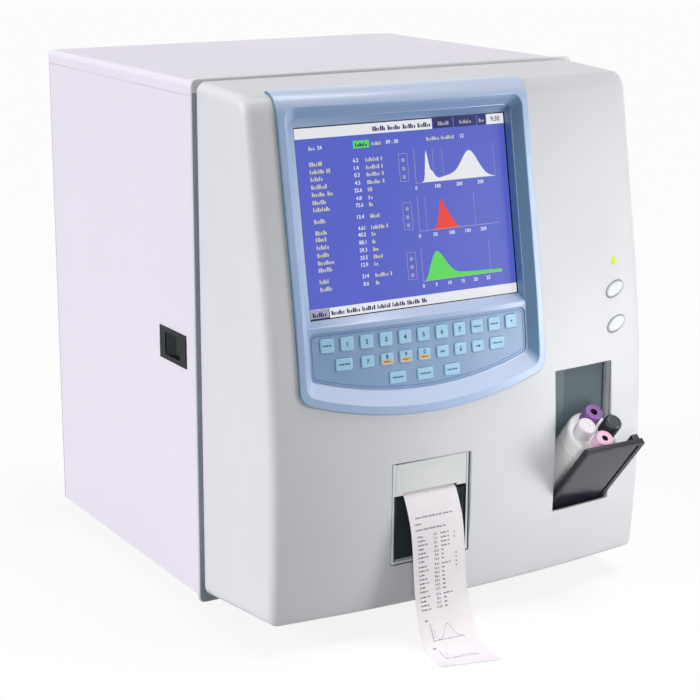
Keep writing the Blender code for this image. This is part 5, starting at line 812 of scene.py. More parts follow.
bezel = {
    "centre": -0.04875, "half": 0.12325, "bottom": 0.1895, "bottomRadius": 0.370, "corner": 0.014,
    "proud": 0.0025, "wrapRear": -0.078, "wrapCorner": 0.008,
    "rimHalf": 0.11625, "rimTop": 0.450, "rimBottom": 0.1976, "rimRadius": 0.362, "rimCorner": 0.010,
    "floorHalf": 0.1095, "floorTop": 0.4415, "floorBottom": 0.2086, "floorRadius": 0.355, "floorCorner": 0.007,
    "sink": 0.006, "lift": 0.0003, "edge": 0.0012, "lip": 0.0012, "lipStart": 0.6, "lipTurn": 50,
    "floorLip": 0.0004, "floorWall": 0.003,
    # The unseen core: drawn in from the outer edge, with its own top and corners
    "coreInset": 0.0075, "coreTop": 0.4515, "coreCorners": (0.009, 0.0065),
    # Which faces are painted dark as shade on the outer side walls: this near the side, and this much sideways
    "edgeWidth": 0.0008, "shadeFacing": 0.8,
}


def shieldOutline(half, top, bottom, bottomRadius, topCorner, bottomCorner, sideSteps=64, counts=(24, 8, 28)):
    # Upright sides, two rounded top corners and a bottom edge that is one wide arc, anticlockwise (x, w) points
    arcSteps, cornerSteps, topSteps = counts
    heart, inner = bottom + bottomRadius, half - bottomCorner
    level = heart - np.sqrt((bottomRadius - bottomCorner) ** 2 - inner**2)
    turn = np.arctan2(level - heart, inner)
    arc = np.linspace(-np.pi / 2, turn, arcSteps + 1)
    first = np.stack([bottomRadius * np.cos(arc), heart + bottomRadius * np.sin(arc)], -1)
    corner = np.linspace(turn, 0, cornerSteps + 1)[1:]
    second = np.stack([inner + bottomCorner * np.cos(corner), level + bottomCorner * np.sin(corner)], -1)
    side = np.linspace(level, top - topCorner, sideSteps + 1)[1:]
    third = np.stack([np.full_like(side, half), side], -1)
    corner = np.linspace(0, np.pi / 2, cornerSteps + 1)[1:]
    fourth = np.stack([
        half - topCorner + topCorner * np.cos(corner), top - topCorner + topCorner * np.sin(corner)], -1)
    across = np.linspace(half - topCorner, 0, topSteps + 1)[1:]
    fifth = np.stack([across, np.full_like(across, top)], -1)
    right = np.concatenate([first, second, third, fourth, fifth])
    left = right[1:-1][::-1] * np.array([-1, 1])
    return np.concatenate([right, left]) + np.array([bezel["centre"], 0])


# The side outline unrolled: w is the height up to the rounding at the top, then the length along it
rounding, rearHeight = front["topRounding"], caseSize["height"]
topSlope = (rearHeight - front["topFront"]) / float(faceDepth(front["topFront"]))
topAngle = np.arctan(topSlope)
turnRange = np.pi / 2 - topAngle - lean
wrapStart = front["topFront"] - rounding * np.tan(turnRange / 2) * np.cos(lean)
wrapEnd = wrapStart + rounding * turnRange
wrapHeart = np.array([-float(faceDepth(wrapStart)) + rounding * np.cos(lean), wrapStart - rounding * np.sin(lean)])
wrapTop = wrapEnd + (bezel["wrapRear"] - wrapHeart[0] + rounding * np.sin(topAngle))


def onWrap(points):
    # (x, w, height) points go on the face, round the top rounding and along the top
    x, w, height = points.T
    turn = lean + np.clip((w - wrapStart) / rounding, 0, turnRange)
    angle = np.where(w < wrapStart, np.arctan(faceSlope(w)), turn)
    normal = np.stack([-np.cos(angle), np.sin(angle)], -1)
    face = np.stack([-faceDepth(w), w], -1)
    past = np.maximum(w - wrapEnd, 0)[:, None] * np.array([np.cos(topAngle), np.sin(topAngle)])
    base = np.where((w < wrapStart)[:, None], face, wrapHeart + rounding * normal + past)
    share = np.where(w < wrapStart, 1.0, np.clip(-base[:, 0] / float(faceDepth(front["topFront"])), 0, 1))
    out = base + normal * (height * np.cos(np.minimum(angle, lean)))[:, None]
    return np.column_stack([x, out[:, 0] + share * bow(x), out[:, 1]])


def wrapHeight(outline, height):
    # A point drawn at a height z keeps that height when it is lifted or sunk square to the face
    angle = np.arctan(faceSlope(outline[:, 1]))
    slide = height * np.cos(angle) * np.sin(angle) * (outline[:, 1] < wrapStart)
    return lifted(np.column_stack([outline[:, 0], outline[:, 1] - slide]), height)


def buildMoulding():
    # The outer block less a smaller one, which goes round the sample opening, and less all the openings
    f, s = front, openings["sample"]
    outer = mouldBlock("outer", 0.0, f["rear"], *f["outerSteps"])
    hollow = mouldBlock("hollow", f["wall"], -f["rear"], *f["hollowSteps"])
    (x, z), (halfX, halfZ), wall = s["centre"], s["half"], f["columnWall"]
    box = [x - halfX - wall, x + halfX + wall, f["columnBack"], f["columnFront"], z - halfZ, z + halfZ + wall]
    hollow = carve(hollow, [blank("column", slabs([box], lambda p: p))])
    inset = f["holeInset"]
    outline = shieldOutline(
        bezel["half"] - inset, f["holeTop"], bezel["bottom"] + inset, bezel["bottomRadius"] - inset,
        f["holeTopCorner"], bezel["corner"] - f["holeCornerInset"], 12, (12, 4, 6))
    rings = [lifted(outline, y)[:, [0, 2, 1]] for y in f["holeDepths"]]
    cuts = [hollow, blank("display", skin(np.stack(rings)))]
    cuts += [openingTool(name, **values) for name, values in openings.items()]
    oval, gap = buttons["shape"], buttons["gap"]
    for name, cap in buttons["caps"].items():
        cuts.append(ovalTool(
            name, cap["at"], oval["halfLength"] + gap, oval["halfWidth"] + gap, oval["turn"], buttons["lip"]))
    hole = lamp["radius"] + lamp["gap"]
    cuts.append(ovalTool("lamp", lamp["at"], hole, hole, 0, lamp["gap"]))
    mesh = carve(outer, cuts)
    shadeByAngle(mesh, 34)
    newPiece("front_moulding_shell", mesh, "case", "moulded_front", [finishes["moulded_front"]], ["front_moulding"])


grooveShade = {
    "thick": 0.0003, "low": 0.0735, "high": 0.2035,
    # Each line: its rear and its front along the wall, and its finish, dark 0 or grey 1
    "lines": ((-0.1231, -0.1218, 0), (-0.1271, -0.1261, 1), (-0.1338, -0.1327, 1)),
}


def buildGrooveShade():
    # Painted shade: upright dark and grey lines on both side walls of the sample opening, as thin closed bricks on the
    # flat walls
    s, low, high = openings["sample"], grooveShade["low"], grooveShade["high"]
    shells = []
    for side in (-1, 1):
        wall = s["centre"][0] + side * s["half"][0]
        left, right = sorted((wall, wall - side * grooveShade["thick"]))
        for back, ahead, number in grooveShade["lines"]:
            shells.append((*slabs([[left, right, low, high, back, ahead]], lambda p: p[:, [0, 2, 1]]), number))
    mesh = buildMesh("lines", shells, 30)
    newPiece("opening_groove_shade", mesh, "case", "moulded_front", [finishes["gap_grey"], finishes["seam_grey"]])


buildMoulding()
buildGrooveShade()
print("moulded front carved")


def between(first, second, steps):
    # Rings in even steps from one outline to the next, without the first
    t = np.linspace(0, 1, steps + 1)[1:, None, None]
    return list(first + (second - first) * t)


b = bezel
# Each outline: half width, top, bottom, its radius, top and bottom corner, and how much these follow an inset
bezelShapes = {
    "outer": (b["half"], wrapTop, b["bottom"], b["bottomRadius"], b["wrapCorner"], b["corner"], 0.9),
    "rim": (b["rimHalf"], b["rimTop"], b["rimBottom"], b["rimRadius"], b["rimCorner"], b["rimCorner"], 0.6),
    "floor": (
        b["floorHalf"], b["floorTop"], b["floorBottom"], b["floorRadius"], b["floorCorner"], b["floorCorner"], 0.6),
    "core": (
        b["half"] - b["coreInset"], b["coreTop"], b["bottom"] + b["coreInset"], b["bottomRadius"] - b["coreInset"],
        *b["coreCorners"], 0.0),
}


def bezelRing(shape, inset, height):
    # One of the outlines, drawn in by an inset, at a height over the face
    half, top, bottom, radius, topCorner, bottomCorner, follow = bezelShapes[shape]
    return wrapHeight(shieldOutline(
        half - inset, top - inset, bottom + inset, radius - inset,
        topCorner - inset * follow, bottomCorner - inset * follow), height)


def buildSurround():
    # One closed sweep: up the outer edge, over the flat band, down the slope and back underneath
    proud, sink, edge, lip, start = (bezel[k] for k in ("proud", "sink", "edge", "lip", "lipStart"))
    deepest = -sink - bezel["floorWall"]
    rings = [bezelRing("outer", 0, bezel["lift"]), bezelRing("outer", 0, proud - edge)]
    for turn in np.linspace(0, np.pi / 2, 6)[1:]:
        rings.append(bezelRing("outer", edge * (1 - np.cos(turn)), proud - edge * (1 - np.sin(turn))))
    rings += between(rings[-1], bezelRing("rim", -lip * start, proud), 16)
    for turn in np.linspace(0, np.radians(bezel["lipTurn"]), 6)[1:]:
        rings.append(bezelRing("rim", -lip * (start - np.sin(turn)), proud - lip * (1 - np.cos(turn))))
    rings += between(rings[-1], bezelRing("floor", -bezel["floorLip"], -sink + bezel["floorLip"]), 6)
    rings += [bezelRing("floor", 0, -sink), bezelRing("floor", 0, deepest)]
    core = bezelRing("core", 0, deepest)
    rings += between(rings[-1], core, 1)
    rings += between(rings[-1], lifted(core[:, :2], bezel["lift"]), 2)
    rings += between(rings[-1], rings[0], 12)[:-1]
    stacked = np.stack(rings)
    return skin(onWrap(stacked.reshape(-1, 3)).reshape(stacked.shape), joined=True)


screen = {"centre": (-0.0471, 0.3548), "width": 0.2112, "height": 0.1584, "setback": 0.0165, "border": 0.0008}
windowFrame = {
    "near": (-0.04875, 0.35555), "nearHalf": (0.1091, 0.08555), "nearCorner": 0.0010, "farCorner": 0.0008,
    # Rings at the recess floor: how far each grows and how much deeper than the floor it lies
    "mouth": ((0.0005, 0), (-0.0002, 0.0001), (-0.0005, 0.0005)), "under": (0.0005, 0.0025),
    # Rings at the screen: how far each grows and how far it stands off
    "edge": (0.0, 0.0008), "back": (0.0006, 0.0004), "steps": 5, "counts": ((32, 24), 8),
}
keyPanel = {
    # Half width, top, bottom, its radius and both corners of the seat's rim, of its hole and of the printed line
    "rim": (bezel["floorHalf"] + 0.0004, 0.2703, bezel["floorBottom"] - 0.0004, 0.3554, 0.0006, 0.0072),
    "hole": (0.1081, 0.2658, 0.2097, 0.3543, 0.0062, 0.0062),
    "line": (0.1060, 0.2637, 0.2118, 0.3522, 0.0045, 0.0045),
    # Rings of the hole: how far each grows and how much deeper than the floor it lies
    "mouth": ((0.0004, 0), (0.0001, 0.0001), (0, 0.0004)), "under": 0.0084,
    "lineWidth": 0.0007, "lineSink": 0.0068, "lineFoot": -0.0001, "lineLift": 0.00005,
}


def screenDepth(z):
    # The screen is flat and leans as the face does above the break, set back from it
    return screen["setback"] - depthAtBreak + faceTilt * (z - front["breakHeight"])


def onScreen(points):
    # (across, up, out) on the flat leaning screen, from its middle
    x, z = screen["centre"]
    heart = np.array([x, float(screenDepth(z)), z])
    axes = np.array([[1, 0, 0], [0, np.sin(lean), np.cos(lean)], [0, -np.cos(lean), np.sin(lean)]])
    return heart + points @ axes


def buildWindowFrame():
    # Closed ring that tapers from the recess floor to the edge of the screen
    w, border = windowFrame, screen["border"]
    half = np.array([screen["width"] / 2 + border, (screen["height"] / 2 + border) * np.cos(lean)])

    def near(grow, deeper):
        corner = w["nearCorner"] + max(grow, 0)
        outline = roundOutline(w["near"], np.array(w["nearHalf"]) + grow, corner, *w["counts"])
        return onFace(lifted(outline, -(bezel["sink"] + deeper)))

    def far(grow, out):
        outline = roundOutline(screen["centre"], half + grow, w["farCorner"] + grow, *w["counts"])
        return np.column_stack([outline[:, 0], screenDepth(outline[:, 1]) - out, outline[:, 1]])
    rings = [near(*step) for step in w["mouth"]]
    rings += between(rings[-1], far(*w["edge"]), w["steps"])
    rings += [far(*w["back"]), near(*w["under"])]
    return skin(np.stack(rings), joined=True)


def panelRing(shape, grow, sink):
    # One of the key panel's outlines, grown all round, at a depth below the face
    half, top, bottom, radius, *corners = keyPanel[shape]
    return onFace(lifted(shieldOutline(half + grow, top + grow, bottom - grow, radius + grow, *corners, 16), -sink))


def buildKeySeat():
    # Closed ring: the recess floor around the key panel, with the panel's seat
    sink, under = bezel["sink"], keyPanel["under"]
    rings = [panelRing("rim", 0, sink)]
    rings += [panelRing("hole", grow, sink + deeper) for grow, deeper in keyPanel["mouth"]]
    rings += [panelRing("hole", 0, under), panelRing("rim", 0, under)]
    return skin(np.stack(rings), joined=True)


mesh = buildMesh("surround", [buildSurround(), buildWindowFrame(), buildKeySeat()], 30)
blues = [finishes["bezel_blue"], finishes["bezel_edge"]]
surround = newPiece("screen_surround", mesh, "case", "bezel_blue", blues, ["screen_bezel"])
# Outer side walls that face left or right get the darker blue: painted shade
for wall in surround.data.polygons:
    outside = abs(wall.center.x - bezel["centre"]) > bezel["half"] - bezel["edgeWidth"]
    wall.material_index = int(outside and abs(wall.normal.x) > bezel["shadeFacing"])
print("screen surround swept")


# Made-up readings, each with its place down the screen and the widths of the word before and the unit after it
readings = [
    ("6.2", 0.19, 0.06, 0.082), ("1.4", 0.23, 0.094, 0.082), ("0.3", 0.268, 0.057, 0.082), ("4.5", 0.309, 0.072, 0.082),
    ("22.6", 0.348, 0.098, 0.022), ("4.8", 0.39, 0.063, 0.022), ("72.6", 0.427, 0.078, 0.022),
    ("13.4", 0.489, 0.054, 0.045), ("4.61", 0.549, 0.054, 0.082), ("40.2", 0.584, 0.05, 0.022),
    ("88.1", 0.625, 0.058, 0.018), ("29.3", 0.666, 0.057, 0.03), ("33.5", 0.706, 0.075, 0.045),
    ("12.9", 0.744, 0.065, 0.02), ("214", 0.805, 0.045, 0.082), ("8.6", 0.845, 0.057, 0.018)]
# Each graph: its base, its left and right ends, then its figures with their places
graphs = (
    (0.341, 0.543, 0.938, (("0", 0.543), ("100", 0.648), ("200", 0.754), ("300", 0.86))),
    (0.600, 0.541, 0.935, (("0", 0.541), ("50", 0.617), ("100", 0.699), ("150", 0.778), ("200", 0.856))),
    (0.872, 0.539, 0.933, (("0", 0.539), ("5", 0.602), ("10", 0.668), ("15", 0.734), ("20", 0.797), ("25", 0.861))),
)
# Areas are left, right, top and bottom as shares of the screen; words are left, right, middle and height
picture = {
    "inks": ("ground", "white", "navy", "green", "red", "cream", "grey"),
    "white": [(0, 0.643, 0.0, 0.058), (0, 1, 0.947, 1.0), (0.913, 1.0, 0.0, 0.058)],
    "navy": [(0.646, 0.745, 0.0, 0.058), (0.751, 0.862, 0.0, 0.058), (0.867, 0.91, 0.0, 0.058)],
    "grey": [(0.0, 0.085, 0.949, 0.998)], "green": [(0.262, 0.337, 0.088, 0.128)],
    "darkLines": [(0.0, 1.0, 0.0, 0.0025), (0.085, 0.088, 0.949, 1.0), (0.0, 0.085, 0.995, 1.0)],
    "boxes": [(0.469, 0.512, 0.176, 0.327), (0.469, 0.512, 0.438, 0.586), (0.469, 0.512, 0.708, 0.856)],
    "headWords": [(0.058, 0.088, 0.108, 0.024), (0.348, 0.395, 0.108, 0.022), (0.61, 0.755, 0.108, 0.022)],
    "darkWords": [(0.358, 0.636, 0.031, 0.029), (0.01, 0.074, 0.975, 0.028), (0.096, 0.551, 0.974, 0.027)],
    "greyWords": [(0.672, 0.726, 0.031, 0.024), (0.778, 0.838, 0.031, 0.024), (0.875, 0.902, 0.031, 0.024)],
    "greenWords": [(0.272, 0.328, 0.109, 0.022)],
    # Faint upright marks: their place and the base of their graph
    "dim": ((0.633, 0.341), (0.679, 0.341), (0.936, 0.341), (0.578, 0.6), (0.818, 0.6), (0.876, 0.872)),
    # Single figures: words, place across and down, height and ink
    "figures": (
        ("24", 0.108, 0.108, 0.0045, 1), ("09 : 30", 0.445, 0.108, 0.0045, 1), ("12", 0.785, 0.108, 0.0045, 1),
        ("9:30", 0.957, 0.03, 0.0056, 2)),
    "label": (0.055, 0.026), "unit": (0.313, 0.024), "reading": (0.268, 0.0045), "mark": (0.026, 0.0043),
    "line": 0.0024, "upright": 0.75, "barStart": (0.014, 0.026), "barEnd": (0.015, 0.045), "barPitch": 0.3,
    "axis": (0.003, 0.0022, 0.185), "dimLine": (0.0015, 0.18), "behind": -0.0001, "figureLift": 0.00016,
}


def letterRow(left, right, v, height, pitch=0.0088):
    # A line of unreadable print: plain blocks of uneven width and height, set close together in words
    count = max(int((right - left) / pitch), 1)
    k = np.arange(count)
    step = (right - left) / count
    start = left + k * step
    odd = np.abs(np.sin(2.3 * k + 40 * left + 17 * v))
    keep = (k % 8 != 7) | (count < 9)
    tall, foot = height * np.where((k % 4 == 0) | (odd > 0.9), 0.86, 0.56), v + height / 2
    wide = step * (0.5 + 0.36 * odd)
    return [(a, a + w, foot - t, foot) for a, w, t in zip(start[keep], wide[keep], tall[keep])]


def letterRows(rows):
    # Several lines of unreadable print
    return [block for row in rows for block in letterRow(*row)]


def screenPrint(rows, lift):
    # Areas given as shares of the screen from its top left corner become thin bricks
    w, h, back = screen["width"], screen["height"], picture["behind"]
    boxes = [((a - 0.5) * w, (b - 0.5) * w, (0.5 - d) * h, (0.5 - c) * h, back, lift) for a, b, c, d in rows]
    return slabs(boxes, onScreen)


def screenBand(u, low, high, lift):
    # A band between two curves, given as shares of the screen
    w, h = screen["width"], screen["height"]
    return ribbon((u - 0.5) * w, (0.5 - low) * h, (0.5 - high) * h, picture["behind"], lift, onScreen)


def screenFigures(words, u, v, size):
    # A line of figures round a place given as shares of the screen
    w, h = screen["width"], screen["height"]
    return figures(words, size, ((u - 0.5) * w, (0.5 - v) * h), picture["figureLift"], onScreen)


def graphCurves():
    # Three made-up curves: sums of bells, the second brought down to zero, the third on a slanting ground
    u1, u2, u3 = np.linspace(0.575, 0.935, 80), np.linspace(0.610, 0.750, 50), np.linspace(0.548, 0.933, 90)
    h1 = hump(u1, 0.601, 0.010, 0.145) + hump(u1, 0.620, 0.020, 0.052)
    h1 = h1 + hump(u1, 0.815, 0.056, 0.142) + hump(u1, 0.72, 0.09, 0.027)
    h2 = (hump(u2, 0.655, 0.017, 0.095) + hump(u2, 0.677, 0.036, 0.092)) * np.clip((0.75 - u2) / 0.03, 0, 1)
    peak = hump(u3, 0.614, np.where(u3 < 0.614, 0.036, 0.056), 0.125)
    h3 = np.clip((u3 - 0.548) / 0.03, 0, 1) * (peak + 0.032 - 0.018 * (u3 - 0.55) / 0.38)
    return (u1, h1, 1), (u2, h2, 4), (u3, h3, 3)


def buildScreenPicture():
    # Thin closed bricks, bands and figures on the screen, each layer a little in front of the last
    p = picture
    cream, axes = [], []
    for u0, u1, v0, v1 in p["boxes"]:
        line, upright, pitch = p["line"], p["line"] * p["upright"], (v1 - v0) * p["barPitch"]
        axes += [(u0, u1, v0, v0 + line), (u0, u1, v1 - line, v1)]
        axes += [(u0, u0 + upright, v0, v1), (u1 - upright, u1, v0, v1)]
        (left, top), (right, foot) = p["barStart"], p["barEnd"]
        axes += [(u0 + left, u1 - right, v0 + top + k * pitch, v0 + foot + k * pitch) for k in range(3)]
    for _, v, label, unit in readings:
        for (left, height), width in ((p["label"], label), (p["unit"], unit)):
            cream += letterRow(left, left + width, v, height)
    lineDown, lineAcross, tall = p["axis"]
    for base, left, right, _ in graphs:
        axes += [(left, right, base, base + lineDown), (left, left + lineAcross, base - tall, base)]
    wide, dimTall = p["dimLine"]
    dim = [(u, u + wide, base - dimTall, base) for u, base in p["dim"]]
    shells = [(*screenPrint(rows, lift), ink) for rows, lift, ink in (
        ([(0, 1, 0, 1)], 0.00005, 0), (p["white"], 0.00009, 1), (p["navy"], 0.00009, 2),
        (cream + letterRows(p["headWords"]), 0.00009, 5), (p["grey"], 0.00012, 6),
        (letterRows(p["darkWords"]) + p["darkLines"], 0.00014, 2), (letterRows(p["greyWords"]), 0.00013, 6),
        (axes, 0.00012, 6), (dim, 0.0001, 6), (p["green"], 0.0001, 3), (letterRows(p["greenWords"]), 0.00013, 2))]
    for (base, *_), (u, high, ink) in zip(graphs, graphCurves()):
        shells.append((*screenBand(u, base + 0 * u, base - high, 0.00011), ink))
    across, size = p["reading"]
    shells += [(*screenFigures(text, across, v, size), 1) for text, v, _, _ in readings]
    shells += [(*screenFigures(*row[:-1]), row[-1]) for row in p["figures"]]
    down, size = p["mark"]
    for base, _, _, marks in graphs:
        shells += [(*screenFigures(words, u, base + down, size), 1) for words, u in marks]
    inks = [lit[name] for name in p["inks"]]
    newPiece("screen_picture", buildMesh("picture", shells, 30), "case", "screen_glass", inks)


buildScreenPicture()
print("screen lit")


keys = {
    "size": 0.0120, "low": 0.0105, "rows": (0.2555, 0.2385, 0.2217), "topSink": 0.0056, "corner": 0.0016,
    "middleRow": ("7", "8", "9", "0", "left", "down", "right", "f4", "f5"), "bottomRow": ("f6", "f7", "f8"),
    # Rings of a cap from its foot up: how far each is drawn in and how high it lies
    "steps": (
        (0, -0.0018), (0, -0.00055), (0.00012, -0.0003), (0.0004, -0.0001), (0.0008, -0.00002), (0.0013, 0.0),
        (0.0022, -0.00005)),
    # The dish in its top: its depth, and its rings as shares of the last one
    "dish": 0.00012, "dishShares": (0.6, 0.3, 0.04), "least": 0.0002, "cornerFollow": 0.7, "lift": 0.00006,
    "figure": 0.0056, "lowFigure": 0.0050, "wordPitch": 0.0007, "wordRise": 0.0008,
    # Half length as a share of the width, height, and move down, of the word alone and of the one on the orange
    "word": (0.33, 0.0015, 0.0008), "orangeWord": (0.28, 0.0014, 0.0032),
    # Keys with an orange foot, how far their figure goes up, and the foot's middle, side gap, half height and corner
    "orange": ("8", "9", "0"), "figureUp": 0.0022, "foot": (-0.0024, 0.0009, 0.0019, 0.0006),
    "dot": ((0, 0.0004), (0.0008, 0.0007), 0.0003),
    "arrow": (
        (-0.0004, -0.0024), (0.0004, -0.0024), (0.0004, 0.0006), (0.0013, 0.0006), (0, 0.0026), (-0.0013, 0.0006),
        (-0.0004, 0.0006)),
    "arrowTurns": {"up": 0, "left": np.pi / 2, "down": np.pi, "right": -np.pi / 2},
}


def keyPlace(x, z):
    # Placing rule for (across, up, out) on a key: it follows the bowed face, sunk along the middle row's normal
    slope = float(faceSlope(keys["rows"][1]))
    inward = np.array([0, 1, -slope]) / np.hypot(1, slope)

    def place(points):
        a, b, out = points.T
        base = np.column_stack([x + a, -faceDepth(z + b) + bow(x + a), z + b])
        return base + np.outer(keys["topSink"] - out, inward)
    return place


def flatShape(outline, lift, place):
    # A thin closed plate over an outline
    return skin(np.stack([place(lifted(outline, h)) for h in (lift / 3, lift)]))


def keyWord(share, height, down, width, lift, place):
    # A short row of unreadable print across a key
    half = width * share
    rows = letterRow(-half, half, keys["wordRise"], height, keys["wordPitch"])
    return slabs([(a, b, c - down, d - down, 0, lift) for a, b, c, d in rows], place)


def buildKey(name):
    # A rounded cap that rises from its foot to a shallow dish, with its print on top
    low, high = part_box("key_" + name)
    x, width = (low.x + high.x) / 2, high.x - low.x
    row = 2 if name in keys["bottomRow"] else 1 if name in keys["middleRow"] else 0
    height, orange = keys["low"] if row else keys["size"], name in keys["orange"]
    place, lift = keyPlace(x, keys["rows"][row]), keys["lift"]
    half, least = np.array([width / 2, height / 2]), keys["least"]
    rings = []
    for inset, out in keys["steps"]:
        corner = max(keys["corner"] - keys["cornerFollow"] * inset, least)
        rings.append((roundOutline((0, 0), half - inset, corner, (6, 6), 5), out))
    for share in keys["dishShares"]:
        flat = roundOutline((0, 0), (half - keys["steps"][-1][0]) * share, least, (6, 6), 5)
        rings.append((flat, -keys["dish"] * (1 - share / 2)))
    shells = [(*skin(np.stack([place(lifted(flat, out)) for flat, out in rings])), 0)]
    if name.isdigit():
        size = keys["lowFigure"] if row else keys["figure"]
        shells.append((*figures(name, size, (0, keys["figureUp"] if orange else 0), lift, place), 1))
    elif name in keys["arrowTurns"]:
        shells.append((*flatShape(spun(np.array(keys["arrow"]), keys["arrowTurns"][name]), lift, place), 1))
    elif name == "dot":
        shells.append((*flatShape(roundOutline(*keys["dot"], (2, 2), 3), lift, place), 1))
    else:
        shells.append((*keyWord(*keys["word"], width, lift, place), 1))
    if orange:
        middle, side, halfUp, corner = keys["foot"]
        foot = roundOutline((0, middle), (half[0] - side, halfUp), corner, (4, 2), 3)
        shells.append((*flatShape(foot, lift * 0.7, place), 2))
        shells.append((*keyWord(*keys["orangeWord"], width, lift * 1.3, place), 1))
    inks = [finishes[ink] for ink in ("key_blue", "key_ink", "key_orange")]
    newPiece("keycap_" + name, buildMesh("key", shells, 40), "cap_" + name, "key_blue", inks, ["key_" + name])


def buildKeyBorder():
    # The darker line printed round the key panel: a thin closed ring
    sink, foot, top, wide = (keyPanel[k] for k in ("lineSink", "lineFoot", "lineLift", "lineWidth"))
    rings = [panelRing("line", -inset, sink - lift) for inset, lift in ((0, foot), (0, top), (wide, top), (wide, foot))]
    mesh = buildMesh("border", [skin(np.stack(rings), joined=True)], 30)
    newPiece("key_panel_line", mesh, "case", "key_panel_blue", [finishes["key_line"]])


keyNames = [node[4:] for node in frame["nodes"] if node.startswith("key_")]
for name in keyNames:
    buildKey(name)
buildKeyBorder()
print("keys made:", len(keyNames))


tubes = {
    # Each cap: its height over the rack, its mouth's radius and depth, the number of ribs and how deep they are
    "colours": {
        "purple": {"capHeight": 0.014, "mouth": 0.0034, "depth": 0.078, "ribs": 24, "ribDepth": 0.0003},
        "black": {"capHeight": 0.017, "mouth": 0.0, "depth": 0.0, "ribs": 36, "ribDepth": 0.00025},
        "pink": {"capHeight": 0.012, "mouth": 0.0030, "depth": 0.006, "ribs": 0, "ribDepth": 0.0},
        "white": {"capHeight": 0.014, "mouth": 0.0030, "depth": 0.001, "ribs": 30, "ribDepth": 0.0002}},
    "capRadius": 0.0085, "radius": 0.0065, "around": 96, "glassAround": 48, "intoCap": 0.001, "darkFrom": 0.002,
    "edge": 0.0016, "blackEdge": 0.0034, "skirt": 0.0004, "skirtEnd": 0.0012, "ribStart": 0.0016, "ribRise": 0.0004,
    # The open tube: its wall, and how its bore ends
    "wall": 0.0012, "boreTaper": (0.003, 0.004), "boreEnd": 0.0035,
    # The closed cap's button, as radius and drop
    "button": ((0.0046, 0.00005), (0.0043, 0.0004), (0.0031, 0.0004), (0.0028, 0.0001), (pole, 0.0001)),
    # The open caps' groove: how far inside the edge, and drop; then their mouth: how far outside it, and drop
    "groove": ((0.0006, 0.0001), (0.0009, 0.0006), (0.0016, 0.0006), (0.0019, 0.0002)),
    "mouthRim": ((0.0006, 0.0002), (0.00015, 0.0004), (0, 0.0009)),
}
rack = {
    "radius": 0.0245, "spigot": 0.004, "shoulder": 0.004, "tilt": np.radians(39.5), "around": 128, "foot": 0.003,
    "chamfer": 0.0004, "footChamfer": 0.0006, "bodyStart": 0.001, "bodyEnd": 0.016, "topWidth": 0.002,
    # The grip band: how deep it is and where its four edges lie below the top
    "band": 0.0004, "bandEdges": (0.0156, 0.0142, 0.0138),
    # The wells: their play, the width of their countersink, how deep it goes and how far the cutter stands out
    "play": 0.0003, "sinkWidth": 0.0009, "sinkDepth": 0.0006, "sinkTop": 0.0003, "over": 0.004,
}


def alongRack(node):
    # Placing rule for (across, back, up) about a turned piece's own axis, and its lowest and highest place there
    points = readout(frame["nodes"][node].data.vertices, "co", 3)
    c, s = np.cos(rack["tilt"]), np.sin(rack["tilt"])
    axes = np.array([[1, 0, 0], [0, c, s], [0, -s, c]])
    local = (points - seat) @ axes.T
    middle = (local.min(0) + local.max(0)) / 2
    origin = middle[0] * axes[0] + middle[1] * axes[1]
    return lambda p: origin + p @ axes, local[:, 2].min(), local[:, 2].max()


def turned(profile, around, place, ribs=0, ribDepth=0.0, ribbed=None):
    # A profile of (radius, height) swept round the axis; ribs push the marked rings in and out as a cosine
    profile = np.array(profile, float)
    angle = np.linspace(0, 2 * np.pi, around, endpoint=False)
    wave = np.ones((len(profile), around))
    if ribs:
        marks = np.array(ribbed, float)[:, None]
        wave -= marks * ribDepth * (0.5 - 0.5 * np.cos(ribs * angle)) / np.maximum(profile[:, :1], 1e-6)
    radius = profile[:, :1] * wave
    height = np.broadcast_to(profile[:, 1:], radius.shape)
    rings = np.stack([radius * np.cos(angle), radius * np.sin(angle), height], -1)
    return place(rings.reshape(-1, 3)).reshape(rings.shape)


def quarter(radius, high, reach, steps=6):
    # Rounded upper edge: (radius, height) points of a quarter circle
    turns = np.linspace(0, np.pi / 2, steps + 1)[1:]
    return [(radius - reach * (1 - np.cos(a)), high - reach * (1 - np.sin(a))) for a in turns]


